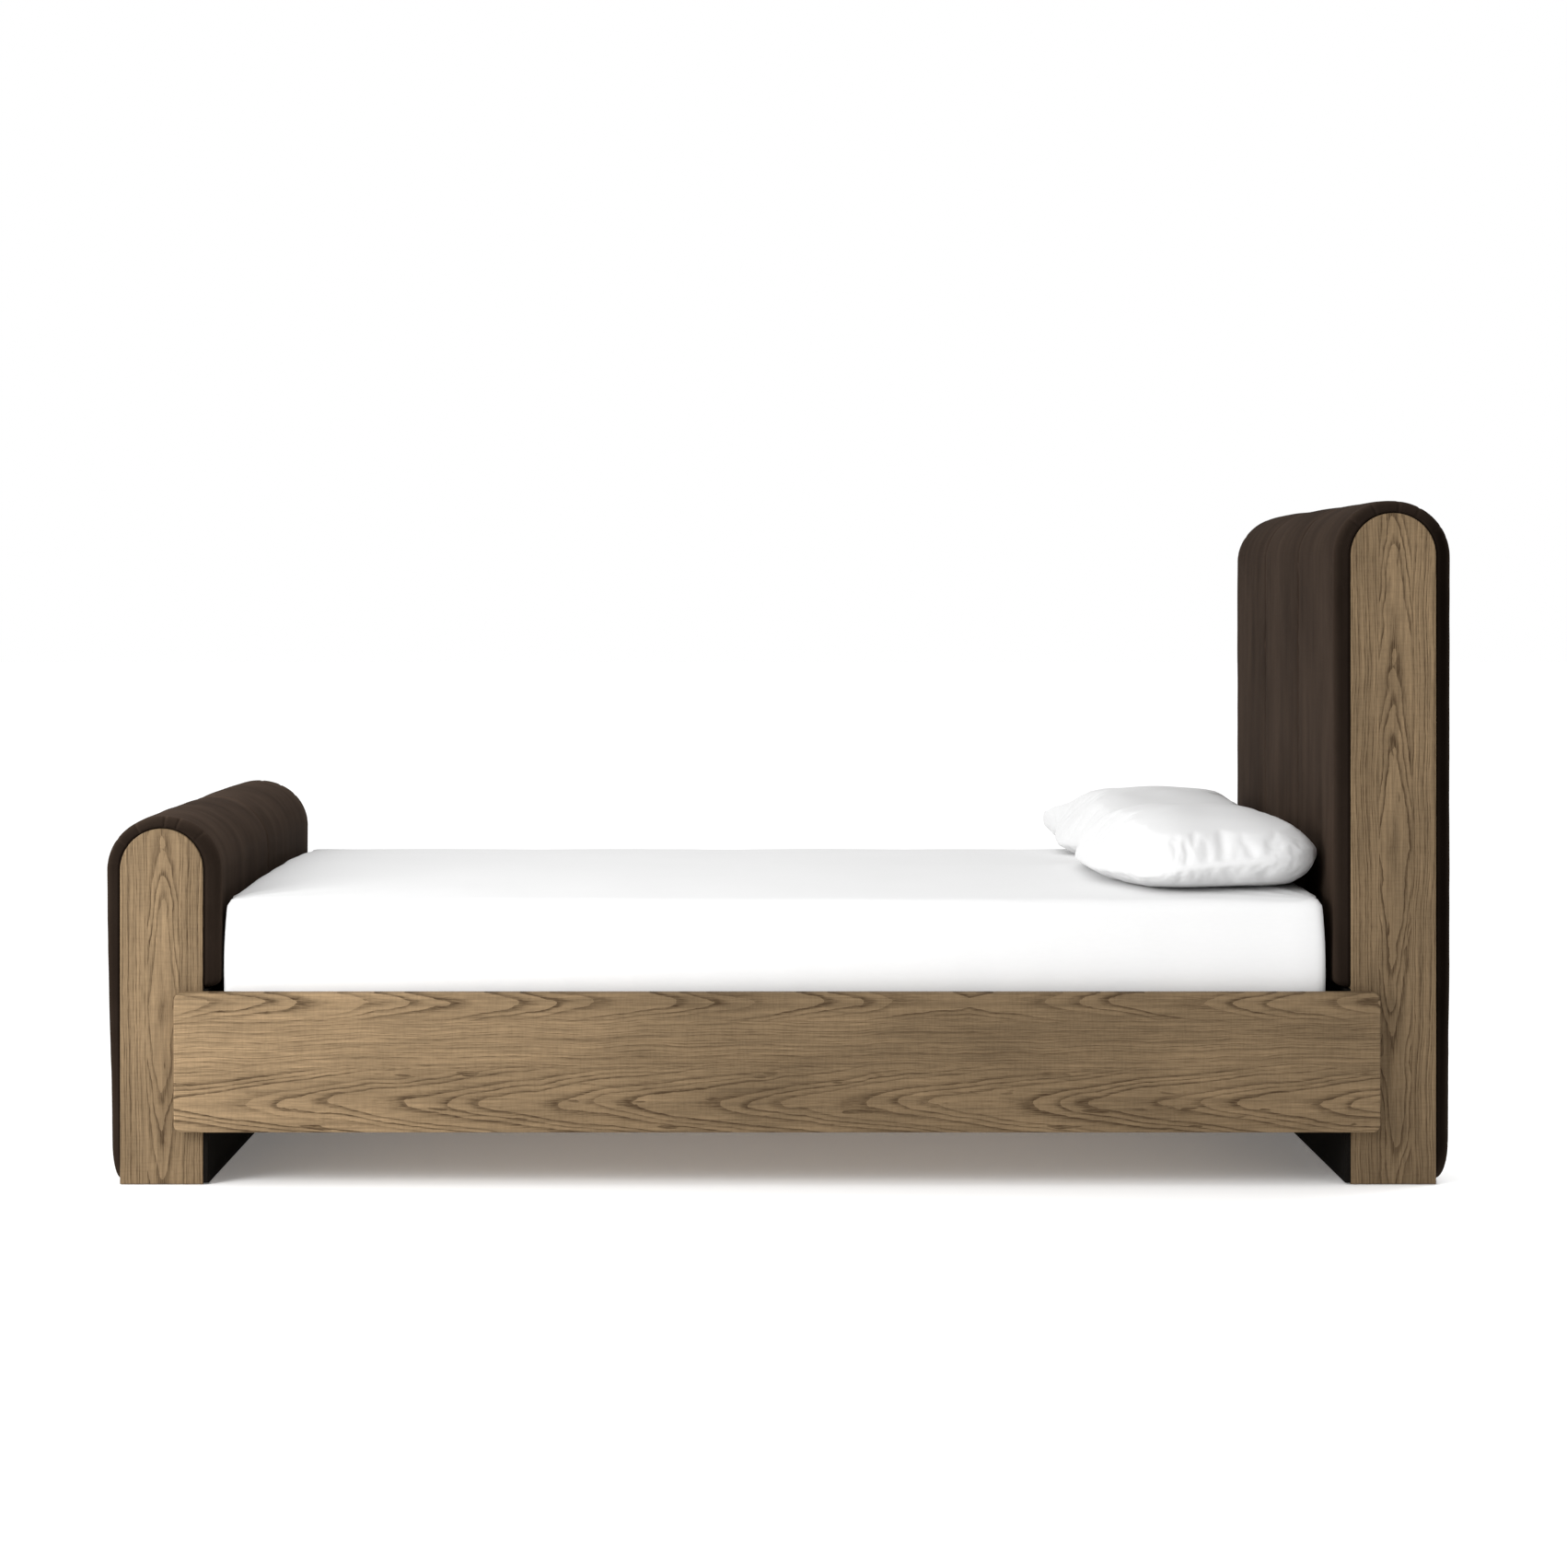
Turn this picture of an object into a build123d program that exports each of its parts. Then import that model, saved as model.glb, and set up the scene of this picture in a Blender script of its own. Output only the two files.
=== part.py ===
"""Queen-size sleigh bed: wooden end panels and rails, leather-padded head and foot, slatted base, bedding.

Millimetres, +Z up. X runs along the bed with the head at +X, Y across it, and the origin is on the floor
under the middle of the bed.
"""
from build123d import *
import os

# ---------------------------------------------------------------- driving dimensions
BED_LENGTH = 2474.0            # over the leather at both ends
PANEL_SPAN = 1550.0            # outside to outside of the end panels, and between the side rails

PANEL_THICKNESS = 38.0
PANEL_EDGE_RADIUS = 2.5
BOARD = 12.0                   # plywood of the padded cores
CORE_BOTTOM = 20.0
RIB_THICKNESS = 18.0
RIB_COUNT = 4
LEATHER = 1.5
PAD_END_RADIUS = 17.5          # rounding of the padding where it meets the end panels
FOAM_JOINT = 0.5
SKIN_GAP = 0.2                 # glue line between two curved layers
CLEAR = 0.3                    # between parts that separate
TOUCH = 0.01                   # how near counts as the same place

RAIL_THICKNESS = 32.0
RAIL_BOTTOM = 100.0
RAIL_TOP = 356.0
RAIL_OVERLAP = 50.0            # rail end past the end panel's inner edge
RAIL_CORNER_RADIUS = 15.0
RAIL_EDGE_RADIUS = 3.0

GLIDE_RADIUS = 12.5
GLIDE_HEIGHT = 5.0
GLIDE_PROUD = 1.0              # glide below the wood

LOWER_PANEL_THICKNESS = 10.0
LOWER_PANEL_TOP = 360.0
LOWER_PANEL_FLOOR_GAP = 3.0
INNER_PAD_BOTTOM = 362.0
OUTER_PAD_BOTTOM = 12.0

SLAT_COUNT = 12
SLAT_WIDTH = 92.0
SLAT_THICKNESS = 18.0
SLAT_TOP = 245.0
LEDGE_WIDTH = 28.0
LEDGE_HEIGHT = 40.0
SLAT_REACH = 930.0             # from the middle of the mattress to the last slat's centre
LEDGE_END_GAP = 6.0
LEDGE_COUNTERBORE = 14.0
LEDGE_SCREW_COUNT = 7
LEDGE_SCREW_INSET = 60.0
LEDGE_SCREW_DROP = 4.0         # screws sit below the ledge's centre line

MATTRESS_LENGTH = 2032.0
MATTRESS_WIDTH = 1524.0
MATTRESS_TOP = 540.0
MATTRESS_CENTRE_X = -7.0
MATTRESS_CORNER_RADIUS = 55.0
MATTRESS_TOP_RADIUS = 32.0
MATTRESS_BOTTOM_RADIUS = 12.0
SHEET = 1.2
SHEET_HEM = 130.0              # how far the sheet tucks under the mattress

PILLOW_DEPTH = 430.0           # along the bed
PILLOW_WIDTH = 700.0           # across the bed
PILLOW_HEIGHT = 150.0
PILLOW_EDGE = 16.0             # thickness of the blunt edge all round
PILLOW_SEAM_HEIGHT = 0.36      # height of the edge seam, as a share of the pillow's height
PILLOW_CENTRE_X = 805.0
PILLOW_CENTRE_Y = 357.0
CASE = 1.2
CASE_MOUTH = 8.0               # end trimmed off where the insert goes in

BOLT_RADIUS = 4.0
THREAD_CLEARANCE = 0.05
DOWEL_RADIUS = 5.0
DOWEL_LENGTH = 50.0
SCREW_RADIUS = 2.25
SCREW_LENGTH = 32.0

LEG_POSITIONS = (-550.0, 0.0, 550.0)
LEG_SIDE = 45.0
BEAM_WIDTH = 45.0
BEAM_HEIGHT = 90.0
LEVELLER_TRAVEL = 15.0

# ---------------------------------------------------------------- derived levels and planes
HALF_SPAN = PANEL_SPAN / 2
PANEL_INNER_Y = HALF_SPAN - PANEL_THICKNESS
CORE_WIDTH = 2 * PANEL_INNER_Y
PAD_HALF_WIDTH = HALF_SPAN - 3.0
SLAT_BOTTOM = SLAT_TOP - SLAT_THICKNESS
LEDGE_BOTTOM = SLAT_BOTTOM - LEDGE_HEIGHT
LEDGE_Y = HALF_SPAN - LEDGE_WIDTH / 2
LEDGE_SCREW_Z = LEDGE_BOTTOM + LEDGE_HEIGHT / 2 - LEDGE_SCREW_DROP
BEAM_BOTTOM = SLAT_BOTTOM - BEAM_HEIGHT


class EndUnit:
    """The head or the foot of the bed: its wood outline, its padded outline and which way it faces."""

    def __init__(self, name, inward, wood_inner, wood_width, wood_top, pad_inner, pad_outer, pad_top):
        self.name = name
        self.inward = inward                       # -1 for the head, +1 for the foot, along X
        self.inner_x = wood_inner
        self.outer_x = wood_inner - inward * wood_width
        self.centre_x = (self.inner_x + self.outer_x) / 2
        self.radius = wood_width / 2
        self.top = wood_top
        self.arch_z = wood_top - self.radius
        self.pad_inner_x = pad_inner
        self.pad_outer_x = pad_outer
        self.pad_centre_x = (pad_inner + pad_outer) / 2
        self.pad_radius = abs(pad_outer - pad_inner) / 2
        self.pad_top = pad_top
        self.face_x = wood_inner + inward * LOWER_PANEL_THICKNESS


HEAD = EndUnit("head", -1, 1053.0, 157.0, 1236.0, 1024.0, BED_LENGTH / 2, 1258.0)
FOOT = EndUnit("foot", 1, -1059.0, 153.0, 655.0, -1028.0, -BED_LENGTH / 2, 677.0)

RAIL_START_X = FOOT.inner_x - RAIL_OVERLAP
RAIL_END_X = HEAD.inner_x + RAIL_OVERLAP

# fittings between a rail and an end unit
BRACKET_THICKNESS = 4.0
BRACKET_BOTTOM = 130.0
BRACKET_TOP = 330.0
BRACKET_RAIL_LEG = 64.0
BRACKET_END_LEG = 64.0
BRACKET_BOLT_Y = HALF_SPAN - 50.0
BRACKET_BOLT_HEIGHTS = (175.0, 285.0)
BRACKET_SCREW_OFFSETS = (20.0, 48.0)
BRACKET_SCREW_HEIGHTS = (150.0, 310.0)
BOLT_HEAD_RADIUS = 7.0
BOLT_HEAD_HEIGHT = 5.0
BOLT_LENGTH = 44.0
BOLT_SOCKET_RADIUS = 3.0
INSERT_RADIUS = 6.0
INSERT_LENGTH = 20.0
BOLT_RAIL_THICKNESS = 30.0
BOLT_RAIL_BOTTOM = 100.0
BOLT_RAIL_TOP = 345.0
DOWEL_HEIGHTS = (150.0, 300.0)

SCREW_HEAD_RADIUS = 4.5
SCREW_HEAD_HEIGHT = 2.5
SCREW_TIP = 3.0
HEAD_ROOM = SCREW_HEAD_RADIUS + 0.5
BOLT_HOLE = BOLT_RADIUS + 0.5

# centre beam, hangers, legs and levellers
HANGER_PLATE = 3.0
HANGER_DEPTH = 60.0
HANGER_WING = 22.0
HANGER_SCREW_HEIGHTS = (155.0, 205.0)
LEG_BOTTOM = 28.0
LEVELLER_PAD_RADIUS = 19.0
LEVELLER_PAD_HEIGHT = 8.0
LEVELLER_STEM_TOP = 72.0

os.makedirs("parts", exist_ok=True)


def save(node, shape):
    """Write one node's solids to its own file."""
    export_step(shape, f"parts/{node}.step")


def block(x0, x1, y0, y1, z0, z1):
    """A box between two opposite corners, given in any order."""
    centre = ((x0 + x1) / 2, (y0 + y1) / 2, (z0 + z1) / 2)
    return Pos(*centre) * Box(abs(x1 - x0), abs(y1 - y0), abs(z1 - z0))


def rod_x(x0, x1, y, z, radius):
    """A cylinder along X."""
    return Pos((x0 + x1) / 2, y, z) * Rot(0, 90, 0) * Cylinder(radius, abs(x1 - x0))


def rod_y(x, y0, y1, z, radius):
    """A cylinder along Y."""
    return Pos(x, (y0 + y1) / 2, z) * Rot(90, 0, 0) * Cylinder(radius, abs(y1 - y0))


def rod_z(x, y, z0, z1, radius):
    """A cylinder along Z."""
    return Pos(x, y, (z0 + z1) / 2) * Cylinder(radius, abs(z1 - z0))


def arch(centre_x, radius, bottom, top, y0, y1):
    """An arch-topped slab: straight sides under a half-round top, extruded along Y."""
    straight = block(centre_x - radius, centre_x + radius, y0, y1, bottom, top - radius)
    return straight + rod_y(centre_x, y0, y1, top - radius, radius)


def cut_all(body, tools):
    """Cut every tool from the body."""
    for tool in tools:
        body -= tool
    return body


def mirrored(shapes):
    """The shapes and their mirror images across the bed's centre plane."""
    return shapes + [shape.mirror(Plane.XZ) for shape in shapes]


# ---------------------------------------------------------------- fasteners
BOLT_AXES = [(-BRACKET_BOLT_Y, z) for z in BRACKET_BOLT_HEIGHTS]     # near side, as (y, z)


def near_bolt(unit, y, z):
    """A button-head bed bolt pushed outward through bracket and panels."""
    seat = unit.face_x + unit.inward * BRACKET_THICKNESS
    shank = rod_x(seat, seat - unit.inward * BOLT_LENGTH, y, z, BOLT_RADIUS)
    head = rod_x(seat, seat + unit.inward * BOLT_HEAD_HEIGHT, y, z, BOLT_HEAD_RADIUS)
    head = fillet(head.edges().filter_by(GeomType.CIRCLE).sort_by(Axis.X)[-1 if unit.inward > 0 else 0], 2.0)
    socket_plane = Plane.YZ.offset(seat + unit.inward * BOLT_HEAD_HEIGHT)
    socket = socket_plane * Pos(y, z) * RegularPolygon(BOLT_SOCKET_RADIUS, 6)
    recess = extrude(socket, amount=BOLT_SOCKET_RADIUS, both=True)
    return shank + head - recess


def insert_x(unit, y, z):
    """A threaded insert sunk in the bolt rail, flush with the rail's face behind the board."""
    start = unit.inner_x - unit.inward * BOARD
    end = start - unit.inward * INSERT_LENGTH
    bore = BOLT_RADIUS + THREAD_CLEARANCE
    return rod_x(start, end, y, z, INSERT_RADIUS) - rod_x(start, end, y, z, bore)


def insert_z(x):
    """The same insert pressed up into a centre leg."""
    top = LEG_BOTTOM + INSERT_LENGTH
    bore = BOLT_RADIUS + THREAD_CLEARANCE
    return rod_z(x, 0, LEG_BOTTOM, top, INSERT_RADIUS) - rod_z(x, 0, LEG_BOTTOM, top, bore)


def screw_master():
    """A pan-head wood screw along -Z, its head seated on Z = 0."""
    shank = rod_z(0, 0, -(SCREW_LENGTH - SCREW_TIP), 0, SCREW_RADIUS)
    tip = Pos(0, 0, -SCREW_LENGTH + SCREW_TIP / 2) * Cone(0.4, SCREW_RADIUS, SCREW_TIP)
    head = rod_z(0, 0, 0, SCREW_HEAD_HEIGHT, SCREW_HEAD_RADIUS)
    head = fillet(head.edges().filter_by(GeomType.CIRCLE).sort_by(Axis.Z)[-1], 1.2)
    recess = Pos(0, 0, SCREW_HEAD_HEIGHT) * (Box(4.0, 1.0, 2.4) + Box(1.0, 4.0, 2.4))
    return shank + tip + head - recess


SCREW = screw_master()
SCREW_HOLE = rod_z(0, 0, -SCREW_LENGTH - 1.0, 1.0, SCREW_RADIUS + THREAD_CLEARANCE)


def evenly(first, last, count):
    """Evenly spaced places from first to last."""
    return [first + (last - first) * i / (count - 1) for i in range(count)]


slat_centres = evenly(MATTRESS_CENTRE_X - SLAT_REACH, MATTRESS_CENTRE_X + SLAT_REACH, SLAT_COUNT)
ledge_start = FOOT.face_x + BRACKET_RAIL_LEG + LEDGE_END_GAP
ledge_end = HEAD.face_x - BRACKET_RAIL_LEG - LEDGE_END_GAP
ledge_screw_xs = evenly(ledge_start + LEDGE_SCREW_INSET, ledge_end - LEDGE_SCREW_INSET, LEDGE_SCREW_COUNT)


def slat_screw_spots():
    """One screw down through each near slat end into the ledge."""
    return [Pos(x, -LEDGE_Y, SLAT_TOP - SCREW_HEAD_HEIGHT) for x in slat_centres]


def ledge_screw_spots():
    """Screws through the near ledge, in counterbores, into the near rail."""
    seat = -HALF_SPAN + LEDGE_WIDTH - LEDGE_COUNTERBORE
    return [Pos(x, seat, LEDGE_SCREW_Z) * Rot(-90, 0, 0) for x in ledge_screw_xs]


def bracket_screw_spots():
    """Screws through the near brackets' rail legs into the near rail."""
    seat = -HALF_SPAN + BRACKET_THICKNESS
    spots = []
    for unit in (HEAD, FOOT):
        for offset in BRACKET_SCREW_OFFSETS:
            for height in BRACKET_SCREW_HEIGHTS:
                spots.append(Pos(unit.face_x + unit.inward * offset, seat, height) * Rot(-90, 0, 0))
    return spots


def hanger_screw_spots(unit):
    """Screws through the near wing of a beam hanger into the bolt rail."""
    seat = unit.face_x + unit.inward * HANGER_PLATE
    turn = Rot(0, 90, 0) if unit.inward > 0 else Rot(0, -90, 0)
    wing_y = -(BEAM_WIDTH / 2 + HANGER_PLATE + HANGER_WING / 2)
    return [Pos(seat, wing_y, height) * turn for height in HANGER_SCREW_HEIGHTS]


def placed(shape, spots):
    """Copies of a shape at each spot."""
    return [spot * shape for spot in spots]


near_rail_screws = ledge_screw_spots() + bracket_screw_spots()
near_hanger_screws = hanger_screw_spots(HEAD) + hanger_screw_spots(FOOT)
near_screw_spots = slat_screw_spots() + near_rail_screws + near_hanger_screws
near_screws = placed(SCREW, near_screw_spots)
hanger_screw_holes = {u.name: mirrored(placed(SCREW_HOLE, hanger_screw_spots(u))) for u in (HEAD, FOOT)}


def near_dowel(unit, z):
    """A dowel between the near end panel and the bolt rail."""
    x = unit.inner_x - unit.inward * (BOARD + BOLT_RAIL_THICKNESS / 2)
    middle = -PANEL_INNER_Y
    return rod_y(x, middle - DOWEL_LENGTH / 2, middle + DOWEL_LENGTH / 2, z, DOWEL_RADIUS)


def leg_dowel(x):
    """A dowel between a centre leg and the beam."""
    return rod_z(x, 0, BEAM_BOTTOM - DOWEL_LENGTH / 2, BEAM_BOTTOM + DOWEL_LENGTH / 2, DOWEL_RADIUS)


def glide_spots(unit):
    """The two floor glides of one end panel, as X positions."""
    return [unit.centre_x - unit.radius * 0.6, unit.centre_x + unit.radius * 0.6]


# ---------------------------------------------------------------- head and foot
def end_panel(unit):
    """The near arch-topped wooden end panel, with dowel holes and glide recesses."""
    panel = arch(unit.centre_x, unit.radius, GLIDE_PROUD, unit.top, -HALF_SPAN, -PANEL_INNER_Y)
    outer_face = panel.faces().sort_by(Axis.Y)[0]
    panel = fillet(outer_face.edges(), PANEL_EDGE_RADIUS)
    holes = [near_dowel(unit, z) for z in DOWEL_HEIGHTS]
    middle_y = -(HALF_SPAN - PANEL_THICKNESS / 2)
    for x in glide_spots(unit):
        holes.append(rod_z(x, middle_y, 0, GLIDE_HEIGHT, GLIDE_RADIUS))
    return cut_all(panel, holes)


def through_holes(unit):
    """Bolt clearance and screw holes through the lower panel and the board behind it."""
    reach = unit.inward * 60.0
    holes = []
    for y, z in BOLT_AXES:
        holes.append(rod_x(unit.inner_x - reach, unit.inner_x + reach, y, z, BOLT_HOLE))
    return mirrored(holes) + hanger_screw_holes[unit.name]


def inner_board(unit):
    """The board on the side that faces the mattress."""
    back = unit.inner_x - unit.inward * BOARD
    board = block(unit.inner_x, back, -PANEL_INNER_Y, PANEL_INNER_Y, CORE_BOTTOM, unit.arch_z)
    return cut_all(board, through_holes(unit))


def outer_board(unit):
    """The board on the side that faces away from the mattress."""
    front = unit.outer_x + unit.inward * BOARD
    return block(unit.outer_x, front, -PANEL_INNER_Y, PANEL_INNER_Y, CORE_BOTTOM, unit.arch_z)


def top_board(unit):
    """The bent board over the ribs: a half ring."""
    outside = rod_y(unit.centre_x, -PANEL_INNER_Y, PANEL_INNER_Y, unit.arch_z, unit.radius)
    inside = rod_y(unit.centre_x, -HALF_SPAN, HALF_SPAN, unit.arch_z, unit.radius - BOARD)
    floor = unit.arch_z - 2 * unit.radius
    lower = block(unit.inner_x, unit.outer_x, -HALF_SPAN, HALF_SPAN, floor, unit.arch_z)
    return outside - inside - lower


def ribs(unit):
    """Arch-topped ribs between the boards, notched round the bolt rail."""
    spacing = CORE_WIDTH / (RIB_COUNT + 1)
    rail = bolt_rail_blank(unit)
    inset = BOARD + SKIN_GAP
    shapes = []
    for i in range(RIB_COUNT):
        y = -PANEL_INNER_Y + (i + 1) * spacing
        near_face = y - RIB_THICKNESS / 2
        far_face = y + RIB_THICKNESS / 2
        rib = arch(unit.centre_x, unit.radius - inset, CORE_BOTTOM, unit.top - inset, near_face, far_face)
        shapes.append(rib - rail)
    return shapes


def bolt_rail_blank(unit):
    """The plain rail behind the inner board."""
    front = unit.inner_x - unit.inward * BOARD
    back = front - unit.inward * BOLT_RAIL_THICKNESS
    return block(front, back, -PANEL_INNER_Y, PANEL_INNER_Y, BOLT_RAIL_BOTTOM, BOLT_RAIL_TOP)


def bolt_rail(unit):
    """The rail that holds the threaded inserts, the hanger screws and the dowels."""
    front = unit.inner_x - unit.inward * BOARD
    depth = front - unit.inward * INSERT_LENGTH
    bolt_end = front - unit.inward * BOLT_RAIL_THICKNESS
    holes = [near_dowel(unit, z) for z in DOWEL_HEIGHTS]
    for y, z in BOLT_AXES:
        holes.append(rod_x(front, depth, y, z, INSERT_RADIUS))
        holes.append(rod_x(depth, bolt_end, y, z, BOLT_HOLE))
    return cut_all(bolt_rail_blank(unit), mirrored(holes) + hanger_screw_holes[unit.name])


def padding(unit, inset):
    """The whole padded shape over the core, shrunk by an inset: a U over the top with rounded ends."""
    half = PAD_HALF_WIDTH - inset
    radius = unit.pad_radius - inset
    low = OUTER_PAD_BOTTOM + inset
    body = arch(unit.pad_centre_x, radius, low, unit.pad_top - inset, -half, half)
    ends = body.edges().filter_by(lambda e: abs(abs(e.center().Y) - half) < TOUCH)
    ends = ends.filter_by(lambda e: e.center().Z > low + 1.0)
    body = fillet(ends, PAD_END_RADIUS - inset)
    inner_side = unit.inner_x + unit.inward * 100.0
    pad_bottom = INNER_PAD_BOTTOM + inset
    below = block(inner_side, unit.centre_x, -HALF_SPAN, HALF_SPAN, -10.0, pad_bottom)
    return body - below - core_envelope(unit)


def core_envelope(unit):
    """The space that the wood takes inside the padding."""
    return arch(unit.centre_x, unit.radius + SKIN_GAP, -10.0, unit.top + SKIN_GAP, -HALF_SPAN, HALF_SPAN)


def foam(unit):
    """Front, top and rear pads, with a glue line between them."""
    whole = padding(unit, LEATHER + SKIN_GAP)
    low = unit.arch_z - FOAM_JOINT
    joint = block(unit.pad_inner_x, unit.pad_outer_x, -HALF_SPAN, HALF_SPAN, low, unit.arch_z)
    return (whole - joint).solids()


def leather_panels(unit, seam_ys):
    """The leather over the foam, cut into panels at the seams."""
    cover = padding(unit, 0.0) - padding(unit, LEATHER)
    panels = []
    bounds = [-HALF_SPAN] + seam_ys + [HALF_SPAN]
    for low, high in zip(bounds[:-1], bounds[1:]):
        slab = block(unit.pad_inner_x * 2, 0, low, high, -10.0, unit.pad_top + 10.0)
        panels.append(cover & slab)
    return panels


def lower_panel(unit):
    """The cloth-wrapped panel under the inner pad, with rounded upright edges."""
    half = PAD_HALF_WIDTH
    bottom = LOWER_PANEL_FLOOR_GAP
    panel = block(unit.face_x, unit.inner_x, -half, half, bottom, LOWER_PANEL_TOP)
    corners = panel.edges().filter_by(Axis.Z).filter_by(lambda e: abs(e.center().X - unit.face_x) < TOUCH)
    return cut_all(fillet(corners, 4.0), through_holes(unit))


# ---------------------------------------------------------------- rails, slats, beam and legs
def side_rail():
    """The near side rail, with rounded corners, eased edges and its screw holes."""
    rail = block(RAIL_START_X, RAIL_END_X, -HALF_SPAN - RAIL_THICKNESS, -HALF_SPAN, RAIL_BOTTOM, RAIL_TOP)
    rail = fillet(rail.edges().filter_by(Axis.Y), RAIL_CORNER_RADIUS)
    rail = fillet(rail.faces().sort_by(Axis.Y)[0].edges(), RAIL_EDGE_RADIUS)
    return cut_all(rail, placed(SCREW_HOLE, near_rail_screws))


def slat_ledge():
    """The near ledge along the rail's inner face, with counterbored screw holes."""
    inner = -HALF_SPAN + LEDGE_WIDTH
    ledge = block(ledge_start, ledge_end, -HALF_SPAN, inner, LEDGE_BOTTOM, SLAT_BOTTOM)
    seat = inner - LEDGE_COUNTERBORE
    bores = [rod_y(x, seat, inner + 1.0, LEDGE_SCREW_Z, HEAD_ROOM) for x in ledge_screw_xs]
    holes = placed(SCREW_HOLE, ledge_screw_spots() + slat_screw_spots())
    return cut_all(ledge, bores + holes)


def slat(x):
    """One slat across both ledges and the beam, its screw heads sunk level with its top."""
    half = HALF_SPAN - 2.0
    board = block(x - SLAT_WIDTH / 2, x + SLAT_WIDTH / 2, -half, half, SLAT_BOTTOM, SLAT_TOP)
    board = fillet(board.edges().filter_by(Axis.Y).sort_by(Axis.Z)[-2:], 3.0)
    tools = []
    for y in (-LEDGE_Y, LEDGE_Y):
        tools.append(rod_z(x, y, SLAT_BOTTOM - 1.0, SLAT_TOP, SCREW_RADIUS + THREAD_CLEARANCE))
        tools.append(rod_z(x, y, SLAT_TOP - SCREW_HEAD_HEIGHT, SLAT_TOP + 1.0, HEAD_ROOM))
    return cut_all(board, tools)


def centre_beam():
    """The beam down the middle, between the two hangers."""
    start = FOOT.face_x + HANGER_PLATE
    end = HEAD.face_x - HANGER_PLATE
    beam = block(start, end, -BEAM_WIDTH / 2, BEAM_WIDTH / 2, BEAM_BOTTOM, SLAT_BOTTOM)
    return cut_all(beam, [leg_dowel(x) for x in LEG_POSITIONS])


def beam_hanger(unit):
    """A folded steel stirrup: back plate with wings, two cheeks and a seat."""
    face = unit.face_x
    plate_end = face + unit.inward * HANGER_PLATE
    tip = face + unit.inward * HANGER_DEPTH
    inner_y = BEAM_WIDTH / 2
    outer_y = inner_y + HANGER_PLATE
    low = BEAM_BOTTOM - HANGER_PLATE
    high = SLAT_BOTTOM - 5.0
    wing = outer_y + HANGER_WING
    plate = block(face, plate_end, -wing, wing, low, high)
    seat = block(face, tip, -outer_y, outer_y, low, BEAM_BOTTOM)
    near_cheek = block(face, tip, -outer_y, -inner_y, low, high)
    far_cheek = block(face, tip, inner_y, outer_y, low, high)
    return cut_all(plate + seat + near_cheek + far_cheek, hanger_screw_holes[unit.name])


def centre_leg(x):
    """A square post under the beam, bored for its dowel, insert and leveller stem."""
    half = LEG_SIDE / 2
    leg = block(x - half, x + half, -half, half, LEG_BOTTOM, BEAM_BOTTOM)
    leg = chamfer(leg.edges().filter_by(Axis.Z), 2.0)
    stem_room = rod_z(x, 0, LEG_BOTTOM, LEVELLER_STEM_TOP + LEVELLER_TRAVEL + 3.0, BOLT_HOLE)
    insert_room = rod_z(x, 0, LEG_BOTTOM, LEG_BOTTOM + INSERT_LENGTH, INSERT_RADIUS)
    return cut_all(leg, [leg_dowel(x), stem_room, insert_room])


def leveller_stem(x):
    """The threaded stem, moulded into its pad and screwed into the leg's insert."""
    return rod_z(x, 0, LEVELLER_PAD_HEIGHT / 2, LEVELLER_STEM_TOP, BOLT_RADIUS)


def leveller_pad(x):
    """The round foot under a centre leg."""
    pad = rod_z(x, 0, 0, LEVELLER_PAD_HEIGHT, LEVELLER_PAD_RADIUS)
    pad = fillet(pad.edges().filter_by(GeomType.CIRCLE).sort_by(Axis.Z)[-1], 2.5)
    return pad - leveller_stem(x)


def rail_bracket(unit):
    """The near steel angle between the rail and the end unit."""
    face = unit.face_x
    rail_tip = face + unit.inward * BRACKET_RAIL_LEG
    plate_end = face + unit.inward * BRACKET_THICKNESS
    wall = -HALF_SPAN
    rail_leg = block(face, rail_tip, wall, wall + BRACKET_THICKNESS, BRACKET_BOTTOM, BRACKET_TOP)
    end_leg = block(face, plate_end, wall, wall + BRACKET_END_LEG, BRACKET_BOTTOM, BRACKET_TOP)
    bracket = rail_leg + end_leg
    holes = placed(SCREW_HOLE, bracket_screw_spots())
    for y, z in BOLT_AXES:
        holes.append(rod_x(face - 10.0, face + 10.0, y, z, BOLT_RADIUS + THREAD_CLEARANCE))
    return cut_all(bracket, holes)


# ---------------------------------------------------------------- bedding
def mattress_form(inset, bottom):
    """A mattress-shaped solid, shrunk by an inset: rounded corners and soft top edges."""
    half_l = MATTRESS_LENGTH / 2 - inset
    half_w = MATTRESS_WIDTH / 2 - inset
    x = MATTRESS_CENTRE_X
    form = block(x - half_l, x + half_l, -half_w, half_w, bottom, MATTRESS_TOP - inset)
    form = fillet(form.edges().filter_by(Axis.Z), MATTRESS_CORNER_RADIUS - inset)
    form = fillet(form.faces().sort_by(Axis.Z)[-1].edges(), MATTRESS_TOP_RADIUS - inset)
    return fillet(form.faces().sort_by(Axis.Z)[0].edges(), MATTRESS_BOTTOM_RADIUS - inset)


def fitted_sheet():
    """A sheet pulled over the mattress and tucked under, open inside its elastic hem."""
    low = SLAT_TOP + CLEAR
    half_l = MATTRESS_LENGTH / 2 - SHEET_HEM
    half_w = MATTRESS_WIDTH / 2 - SHEET_HEM
    x = MATTRESS_CENTRE_X
    opening = block(x - half_l, x + half_l, -half_w, half_w, low - 5.0, low + 5.0)
    return mattress_form(0.0, low) - mattress_form(SHEET, low + SHEET) - opening


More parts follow.
